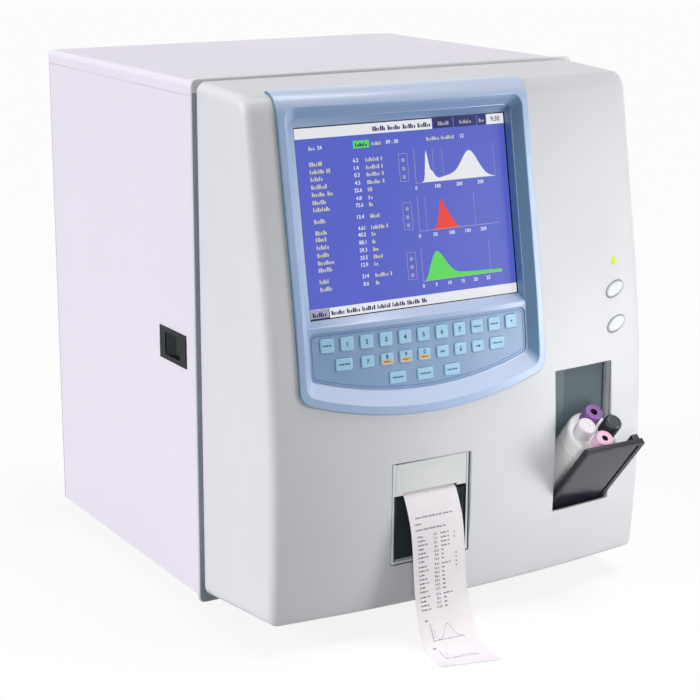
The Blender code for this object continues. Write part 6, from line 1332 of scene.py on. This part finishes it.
def buildTube(colour, capHeight, mouth, depth, ribs, ribDepth):
    # A round-bottomed glass and a ribbed cap, each a profile turned about the tube's own axis
    t, node, openDown = tubes, "sample_tube_" + colour, colour == "purple"
    place, low, high = alongRack(node)
    r, outer, around = t["radius"], t["capRadius"], t["around"]
    collar = high - capHeight
    glassTop = collar + t["intoCap"]
    bottomTurns = np.linspace(0, np.pi / 2, 8)[1:]
    glass = [(pole, low), *((r * np.sin(a), low + r / 2 * (1 - np.cos(a))) for a in bottomTurns), (r, glassTop)]
    if openDown:
        # The needle's way stays open down the tube
        (taper, taperUp), inner = t["boreTaper"], r - t["wall"]
        glass += [(inner, glassTop), (inner, low + r), (r - taper, low + taperUp), (pole, low + t["boreEnd"])]
    else:
        glass += [(pole, glassTop)]
    skirt = [(outer - t["skirt"], collar), (outer, collar + t["skirt"]), (outer, collar + t["skirtEnd"])]
    edge = t["blackEdge"] if colour == "black" else t["edge"]
    body = [(outer, z) for z in np.linspace(collar + t["ribStart"], high - edge - t["ribRise"], 5)]
    top = [(outer, high - edge)] + quarter(outer, high, edge)
    if colour == "black":
        crown = [(radius, high - drop) for radius, drop in t["button"]]
    else:
        crown = [(outer - edge - inset, high - drop) for inset, drop in t["groove"]]
        crown += [(mouth + grow, high - drop) for grow, drop in t["mouthRim"]]
    if openDown:
        crown += [(mouth, collar)]
    elif mouth:
        crown += [(mouth, high - depth), (pole, high - depth)]
    profile = skirt + body + top + crown + ([] if openDown else [(pole, collar)])
    marks = [0] * len(skirt) + [1] * len(body) + [0.4]
    marks += [0] * (len(profile) - len(marks))
    cap = skin(turned(profile, around, place, ribs, ribDepth, marks), joined=openDown)
    # The wall and the floor of a deep mouth are painted dark as shade
    sides = np.arange(len(cap[1])) // around
    bore = len(skirt + body + top) + len(t["groove"] + t["mouthRim"]) - 1
    dark = np.where((depth > t["darkFrom"]) & ((sides == bore) | (sides == bore + 1)), 2, 0)
    mesh = buildMesh(node, [cap, skin(turned(glass, t["glassAround"], place))], 36)
    numbers = np.ones(len(mesh.polygons), np.int32)
    numbers[:len(dark)] = dark
    slot = colour + "_cap"
    materials = [finishes[name] for name in (slot, "tube_clear", "bore_dark")]
    newPiece(node + "_capped", mesh, bodyOf(node), slot, materials, [node])
    mesh.polygons.foreach_set("material_index", numbers)


def buildAdapter():
    # The turning rack: a smooth drum with a rounded shoulder, a shallow grip band and four countersunk wells
    place, low, high = alongRack("tube_adapter")
    k, radius, spigot, shoulder, chamfer = rack, rack["radius"], rack["spigot"], rack["shoulder"], rack["chamfer"]
    foot, bandRadius, (bandEnd, bandTop, bandOut) = low + k["foot"], radius - k["band"], k["bandEdges"]
    profile = [(pole, low), (spigot - chamfer, low), (spigot, low + chamfer), (spigot, foot)]
    profile += [(radius - k["footChamfer"], foot), (radius, foot + k["footChamfer"])]
    profile += [(radius, z) for z in np.linspace(foot + k["bodyStart"], high - k["bodyEnd"], 6)]
    profile += [(bandRadius, high - bandEnd), (bandRadius, high - bandTop), (radius, high - bandOut)]
    profile += [(radius, high - shoulder), *quarter(radius, high, shoulder, 9)]
    profile += [(radius - shoulder - k["topWidth"], high), (pole, high)]
    drum = blank("drum", skin(turned(profile, k["around"], place)))
    wells, r = [], tubes["radius"] + k["play"]
    for colour in tubes["colours"]:
        where, tubeLow, _ = alongRack("sample_tube_" + colour)
        mouth, over, under = r + k["sinkWidth"], high + k["over"], tubeLow - k["play"]
        well = [(pole, under), (r, under), (r, high - k["sinkDepth"])]
        well += [(mouth, high + k["sinkTop"]), (mouth, over), (pole, over)]
        wells.append(blank("well", skin(turned(well, tubes["glassAround"], where))))
    mesh = carve(drum, wells)
    shadeByAngle(mesh, 34)
    white = [finishes["adapter_white"]]
    newPiece("turning_rack", mesh, bodyOf("tube_adapter"), "adapter_white", white, ["tube_adapter"])


for colour, cap in tubes["colours"].items():
    buildTube(colour, **cap)
buildAdapter()
print("rack and four tubes made")


def buildButtons():
    # Oval caps with a hollowed top, and a thin dark ring in the gap round each, below the face, as painted shade of the
    # gap
    seals = []
    for name, cap in buttons["caps"].items():
        place = squareToFace(cap["at"])
        mesh = buildMesh(name, [skin(ovalRings(place, buttons["steps"], **buttons["shape"]))], 40)
        newPiece(name + "_cap", mesh, cap["body"], "button_white", [finishes["button_white"]], [name])
        seals.append(skin(ovalRings(place, buttons["seal"], **buttons["shape"]), joined=True))
    newPiece("button_seals", buildMesh("seals", seals, 30), "case", "moulded_front", [finishes["gap_grey"]])


def buildLamp():
    # A flanged round lens: straight sides, then a flattened dome as a quarter circle
    place, radius, base, dome = squareToFace(lamp["at"]), lamp["radius"], lamp["base"], lamp["dome"]
    rings = [*lamp["foot"], (1.0, base)]
    rings += [(np.cos(t), base + dome * np.sin(t)) for t in np.linspace(0, np.pi / 2, 8)[1:-1]]
    rings.append((lamp["tip"], base + dome))
    stacked = np.concatenate([ovalRings(place, [(0, out)], radius * r, radius * r, 40) for r, out in rings])
    mesh = buildMesh("lamp", [skin(stacked)], 50)
    newPiece("lamp_dome", mesh, "case", "lamp_lens", [finishes["lamp_lens"]], ["status_lamp"])


buildButtons()
buildLamp()
print("buttons and lamp made")


rear = {
    "sides": (-0.188, 0.188), "heights": (0.020, 0.165, 0.310, 0.452), "topScrews": ((-0.06, 0.452), (0.06, 0.452)),
    "screwRadius": 0.0033, "screwHeight": 0.0017, "slot": 0.0006, "slotLength": 0.55, "slotDepth": 0.45,
    "rimHeight": 0.25,
    "plate": (-0.118, 0.395), "plateHalf": (0.036, 0.021), "plateCorner": 0.003,
    # Rings of the plate: how far each is drawn in and how high it lies
    "plateSteps": ((0, -0.0001), (0, 0.0003), (0.0001, 0.0004)), "sunk": 0.0002, "tip": 0.00001,
}


def onRear(x, z):
    # Placing rule for (across, up, out) around one point of the rear face
    return lambda p: np.column_stack([x - p[:, 0], caseSize["rear"] + p[:, 2], z + p[:, 1]])


def buildRear():
    # Pan-head screws, each a turned quarter circle with a cross cut in, and a bare rating plate
    r, h, slot, rim = rear["screwRadius"], rear["screwHeight"], rear["slot"], rear["rimHeight"]
    reach, turns = r * rear["slotLength"], np.linspace(0, np.pi / 2, 7)[1:]
    profile = [(r, -rear["sunk"]), (r, h * rim)]
    profile += [(r * np.cos(a) + rear["tip"], h * (rim + (1 - rim) * np.sin(a))) for a in turns]
    screws = [(x, z) for x in rear["sides"] for z in rear["heights"]] + list(rear["topScrews"])
    for number, (x, z) in enumerate(screws, 1):
        place = onRear(x, z)
        arms = [[-a, a, -b, b, h * rear["slotDepth"], h * 2] for a, b in ((slot, reach), (reach, slot))]
        cross = [blank("cross", slabs([arm], place)) for arm in arms]
        head = carve(blank("head", skin(turned(profile, 32, place))), cross)
        shadeByAngle(head, 30)
        newPiece(f"rear_screw_{number}", head, "case", "zinc_plate", [finishes["zinc_plate"]])
    place, half = onRear(*rear["plate"]), np.array(rear["plateHalf"])
    rings = [
        place(lifted(roundOutline((0, 0), half - inset, rear["plateCorner"] - inset), out))
        for inset, out in rear["plateSteps"]]
    mesh = buildMesh("plate", [skin(np.stack(rings))], 30)
    newPiece("bare_rating_plate", mesh, "case", "zinc_plate", [finishes["plate_silver"]])


buildRear()
print("rear dressed")


paper = {
    "width": 0.054, "thick": 0.0004, "clearance": 0.0009, "centre": -0.0483,
    # How far its end is turned and moved sideways, and from which share of its length on
    "turn": np.radians(-14.2), "drift": -0.0092, "turnStart": 0.55,
    "slot": (-0.1415, 0.1172), "reach": 0.0814, "lift": 0.0004, "table": -0.012, "steps": 14, "across": 13,
    # Middle and radius of the roll and of the platen
    "roll": (-0.112, 0.100, 0.0125), "platen": (-0.132, 0.1155, 0.005),
    # The hanging part: shares of its reach and of its drop
    "shares": [
        (0.0, 0.0), (0.043, 0.036), (0.111, 0.126), (0.166, 0.227), (0.203, 0.367), (0.221, 0.483), (0.246, 0.615),
        (0.289, 0.740), (0.362, 0.848), (0.473, 0.940), (0.596, 0.988), (0.735, 1.0), (1.0, 1.0)],
}
printed = {
    "lift": 0.00004, "foot": -0.00005, "start": 0.0215, "rowHeight": 0.0017, "rowPitch": 0.0009,
    # Heading words: left, right, and how far down from the start
    "heading": ((-0.021, 0.018, 0), (-0.0225, -0.016, 0.0055), (-0.0225, 0.009, 0.0105)),
    "figures": (
        "6.2", "1.4", "0.3", "4.5", "22.6", "4.8", "72.6", "4.61", "13.4", "40.2", "88.1", "29.3", "33.5", "12.9",
        "214", "8.6", "15.7", "0.18"),
    "figureHeight": 0.0031, "figureAcross": -0.003, "first": 0.0165, "pitch": 0.0037, "blockGap": 0.001,
    # The readings come in three blocks; the word before one has its left, least width and longest extra,
    # the unit after it its left, right and the extra of the long ones
    "blockEnds": (6, 13), "label": (-0.0215, 0.006, 0.004), "unit": (0.0025, 0.0055, 0.006),
    "longUnits": (0, 1, 2, 3, 7, 14),
    # Marks beside the readings: how many, left, right, top, bottom and pitch
    "marks": ((2, 0.0165, 0.0172, 0.017, 0.019, 0.004), (4, 0.0168, 0.0182, 0.036, 0.0371, 0.0038)),
    # Each graph: top, base, right end, then its two bells as place, width and height
    "graphStart": 0.094, "graphLeft": -0.016, "graphLine": 0.0003, "graphWord": (-0.020, -0.0165, 0.003),
    "tick": 0.001, "tickPitch": 0.0075, "curve": (-0.015, 0.013, 60), "curveLine": 0.00035,
    "graphs": (
        (0, 0.016, 0.014, (-0.0135, 0.0012, 0.010), (0.001, 0.0052, 0.013)),
        (0.027, 0.043, 0.015, (-0.011, 0.0015, 0.012), (0.004, 0.007, 0.003))),
}


def smoothRoute(points, steps):
    # Catmull-Rom curve through the points, worked out for all spans at once
    p = np.concatenate([[2 * points[0] - points[1]], points, [2 * points[-1] - points[-2]]])
    a, b, c, d = (p[k:len(p) - 3 + k, None] for k in range(4))
    t = np.linspace(0, 1, steps, endpoint=False)[None, :, None]
    spans = b + (c - a) * t / 2 + (2 * a - 5 * b + 4 * c - d) * t**2 / 2 + (3 * (b - c) + d - a) * t**3 / 2
    return np.concatenate([spans.reshape(-1, 2), points[-1:]])


def paperRoute():
    # Middle line (y, z), running length, share of the turn and direction at each step, and the slot's place
    gap = paper["clearance"] + paper["thick"] / 2
    (ry, rz, rr), (py, pz, pr) = paper["roll"], paper["platen"]
    over = pr + gap
    inside = [
        (ry, rz + rr + gap), ((ry + py) / 2, (rz + rr + pz + pr) / 2 + gap), (py, pz + over),
        (py - over * np.sqrt(0.5), pz + over * np.sqrt(0.5))]
    table = paper["lift"] + paper["thick"] / 2 + paper["table"]
    slotY, slotZ = paper["slot"]
    fall = [(slotY - reach * paper["reach"], slotZ - drop * (slotZ - table)) for reach, drop in paper["shares"]]
    route = smoothRoute(np.array(inside + fall), paper["steps"])
    run = np.concatenate([[0], np.cumsum(np.linalg.norm(np.diff(route, axis=0), axis=1))])
    late = np.clip(run / run[-1] - paper["turnStart"], 0, None) / (1 - paper["turnStart"])
    ahead = np.gradient(route, axis=0)
    ahead /= np.linalg.norm(ahead, axis=1, keepdims=True)
    return route, run, late**2, ahead, run[len(inside) * paper["steps"]]


paperLine = paperRoute()


def onPaper(points):
    # (across, run, out) points go to the strip: run along it from the roll, out from its printed face
    route, run, ease, ahead, _ = paperLine
    a, s, out = points.T
    pick = lambda values: np.interp(s, run, values)
    turn = paper["turn"] * pick(ease)
    y, z, ay, az = pick(route[:, 0]), pick(route[:, 1]), pick(ahead[:, 0]), pick(ahead[:, 1])
    height = out + paper["thick"] / 2
    return np.column_stack([
        paper["centre"] + paper["drift"] * pick(ease) + a * np.cos(turn),
        y + a * np.sin(turn) + az * height, z - ay * height])


def buildPaper():
    # The strip is a flat ring carried along the route; its print is thin bricks, figures and bands on its face
    p, lift, foot, count = printed, printed["lift"], printed["foot"], paper["across"]
    half, start = paper["width"] / 2, paperLine[-1] + printed["start"]
    across = np.concatenate([np.linspace(-half, half, count), np.linspace(half, -half, count)])
    out = np.concatenate([np.zeros(count), np.full(count, -paper["thick"])])
    rings = np.stack([onPaper(np.column_stack([across, np.full(2 * count, s), out])) for s in paperLine[1]])
    word = lambda left, right, at: letterRow(left, right, at, p["rowHeight"], p["rowPitch"])
    rows, numbers = [], []
    for left, right, down in p["heading"]:
        rows += word(left, right, start + down)
    (labelLeft, labelWidth, labelMore), (unitLeft, unitRight, unitMore) = p["label"], p["unit"]
    firstEnd, secondEnd = p["blockEnds"]
    for k, value in enumerate(p["figures"]):
        at = start + p["first"] + p["pitch"] * k + p["blockGap"] * (k > firstEnd) + p["blockGap"] * (k > secondEnd)
        rows += word(labelLeft, labelLeft + labelWidth + labelMore * ((k * 7) % 3) / 2, at)
        rows += word(unitLeft, unitRight + unitMore * (k in p["longUnits"]), at)
        numbers.append((value, at))
    for many, left, right, top, base, pitch in p["marks"]:
        rows += [(left, right, start + top + pitch * k, start + base + pitch * k) for k in range(many)]
    graphStart, left, thin, step = start + p["graphStart"], p["graphLeft"], p["graphLine"], p["tickPitch"]
    wordLeft, wordRight, wordUp = p["graphWord"]
    u, curves = np.linspace(*p["curve"]), []
    for down, baseDown, right, first, second in p["graphs"]:
        top, base = graphStart + down, graphStart + baseDown
        rows += [(left, right, base, base + thin), (left, left + thin, top, base)]
        rows += [(left + step * k, left + thin + step * k, base, base + p["tick"]) for k in range(5)]
        rows += word(wordLeft, wordRight, top - wordUp)
        curve = hump(u, *first) + hump(u, *second)
        curves.append((*ribbon(u, base - curve - p["curveLine"], base - curve, foot, lift, onPaper), 1))
    shells = [(*skin(rings), 0), (*slabs([(*row, foot, lift) for row in rows], onPaper), 1)]
    for value, at in numbers:
        onRow = lambda q, at=at: onPaper(q * np.array([1, -1, 1]) + np.array([0, at, 0]))
        shells.append((*figures(value, p["figureHeight"], (p["figureAcross"], 0), lift, onRow, foot), 1))
    mesh = buildMesh("strip", shells + curves, 40)
    materials = [finishes["paper_white"], finishes["paper_ink"]]
    newPiece("printed_strip", mesh, "case", "paper_white", materials, ["paper_strip"])


buildPaper()
print("paper printed")


view = {
    "place": (-0.888174, -1.434755, 0.650721), "yaw": 0.548162545, "pitch": 0.258233649, "roll": 0.00467859643,
    "lens": 93.656, "sky": (0.93, 1.0, 1.0), "skyLevel": 0.06,
    "floorTone": 0.36, "floorGlow": 0.55, "floorWhite": 1.55, "floorReach": 9, "floorCells": 6,
    # Each sun: the way from the object to it, its strength and its tone
    "suns": {
        "sideSun": ((-1, 0.22, 0.35), 2.45, (1.0, 0.985, 1.03)), "topSun": ((0.25, -0.12, 1), 1.38, (1, 1, 1)),
        "fillSun": ((-0.55, -0.8, 0.3), 0.26, (0.92, 1.0, 1.0))},
    "sunAngle": 30, "softPlace": (0.80, -0.88, 0.12), "softAim": (0, -0.1, 0.25), "softSize": (0.4, 0.9),
    "softPower": 9.9,
    # Each spot: its place, what it is aimed at, its power and how wide it opens in degrees
    "spots": {
        "lowSpot": ((-0.55, -1.15, 0.50), (0.08, -0.15, 0.08), 5.0, 30),
        "rackSpot": ((-0.58, -1.30, 0.38), (0.110, -0.185, 0.095), 25.0, 12)},
    "spotRadius": 0.12,
}


def rayShare(tree):
    # 1 for rays from the camera, from gloss and through glass
    path = addNode(tree, "ShaderNodeLightPath").outputs
    total = path["Is Camera Ray"]
    for label in ("Is Glossy Ray", "Is Transmission Ray"):
        total = reckon(tree, "MAXIMUM", total, path[label])
    return total


def hang(light, aim, place=(0, 0, 0)):
    # A light at its place, shining against the aim
    holder = linked(light.name, light)
    holder.rotation_euler, holder.location = aim.to_track_quat("Z", "Y").to_euler(), place


def buildWorld():
    # A faint even sky that lights the object, and plain white behind it
    world = bpy.data.worlds.new("studio")
    bpy.context.scene.world = world
    world.use_nodes = True
    tree = world.node_tree
    tree.nodes.clear()
    sky, plain = (addNode(tree, "ShaderNodeBackground", {"Color": (*tone, 1), "Strength": level}).outputs[0]
                  for tone, level in ((view["sky"], view["skyLevel"]), ((1, 1, 1), 1.0)))
    mix = addNode(tree, "ShaderNodeMixShader", {0: rayShare(tree), 1: sky, 2: plain})
    addNode(tree, "ShaderNodeOutputWorld", {"Surface": mix.outputs[0]})


def buildFloor():
    # A flat grid of squares whose pale surface also glows for the camera, so that it runs into the backdrop
    mesh, cells = bpy.data.meshes.new("floor"), view["floorCells"]
    side = cells + 1
    grid = np.linspace(-view["floorReach"], view["floorReach"], side)
    x, y = np.meshgrid(grid, grid)
    a = (np.arange(cells)[:, None] * side + np.arange(cells)).ravel()
    points = lifted(np.column_stack([x.ravel(), y.ravel()]), 0.0)
    mesh.from_pydata(points.tolist(), [], np.stack([a, a + 1, a + side + 1, a + side], -1).tolist())
    floor = linked("floor", mesh)
    material = bpy.data.materials.new("paleFloor")
    material.use_nodes = True
    tree = material.node_tree
    shader = tree.nodes["Principled BSDF"]
    feed(tree, shader, {"Base Color": (view["floorTone"],) * 3 + (1,), "Roughness": 0.9, "Specular IOR Level": 0.0})
    glow = addNode(tree, "ShaderNodeEmission", {"Color": (1, 1, 1, 1), "Strength": view["floorWhite"]})
    share = reckon(tree, "MULTIPLY", rayShare(tree), view["floorGlow"])
    mix = addNode(tree, "ShaderNodeMixShader", {0: share, 1: shader.outputs[0], 2: glow.outputs[0]})
    feed(tree, tree.nodes["Material Output"], {"Surface": mix.outputs[0]})
    mesh.materials.append(material)


def buildLights():
    # Three wide suns, one softbox at the right and two spots on the front
    for name, (aim, energy, tone) in view["suns"].items():
        sun = bpy.data.lights.new(name, "SUN")
        sun.energy, sun.angle, sun.color = energy, np.radians(view["sunAngle"]), tone
        hang(sun, Vector(aim))
    soft = bpy.data.lights.new("frontSoftbox", "AREA")
    soft.energy, soft.shape = view["softPower"], "RECTANGLE"
    soft.size, soft.size_y = view["softSize"]
    place = Vector(view["softPlace"])
    hang(soft, place - Vector(view["softAim"]), place)
    for name, (place, aim, power, opening) in view["spots"].items():
        spot = bpy.data.lights.new(name, "SPOT")
        spot.energy, spot.spot_size, spot.spot_blend = power, np.radians(opening), 1.0
        spot.shadow_soft_size = view["spotRadius"]
        hang(spot, Vector(place) - Vector(aim), place)


def buildCamera():
    # The photograph's viewpoint: turned, tipped down and rolled a little
    yaw, pitch, roll = view["yaw"], view["pitch"], view["roll"]
    forward = Vector((np.sin(yaw) * np.cos(pitch), np.cos(yaw) * np.cos(pitch), -np.sin(pitch)))
    right = Vector((np.cos(yaw), -np.sin(yaw), 0))
    up = right.cross(forward)
    rolled = (right * np.cos(roll) + up * np.sin(roll), up * np.cos(roll) - right * np.sin(roll), -forward)
    data = bpy.data.cameras.new("camera")
    data.lens, data.sensor_width = view["lens"], 36
    matrix = Matrix.Identity(4)
    for k, column in enumerate((*rolled, view["place"])):
        matrix.col[k][:3] = column
    camera = linked("camera", data)
    camera.matrix_world = matrix
    bpy.context.scene.camera = camera


buildWorld()
buildFloor()
buildLights()
buildCamera()
bpy.context.scene.view_settings.view_transform = "Standard"
print("stage and camera set")
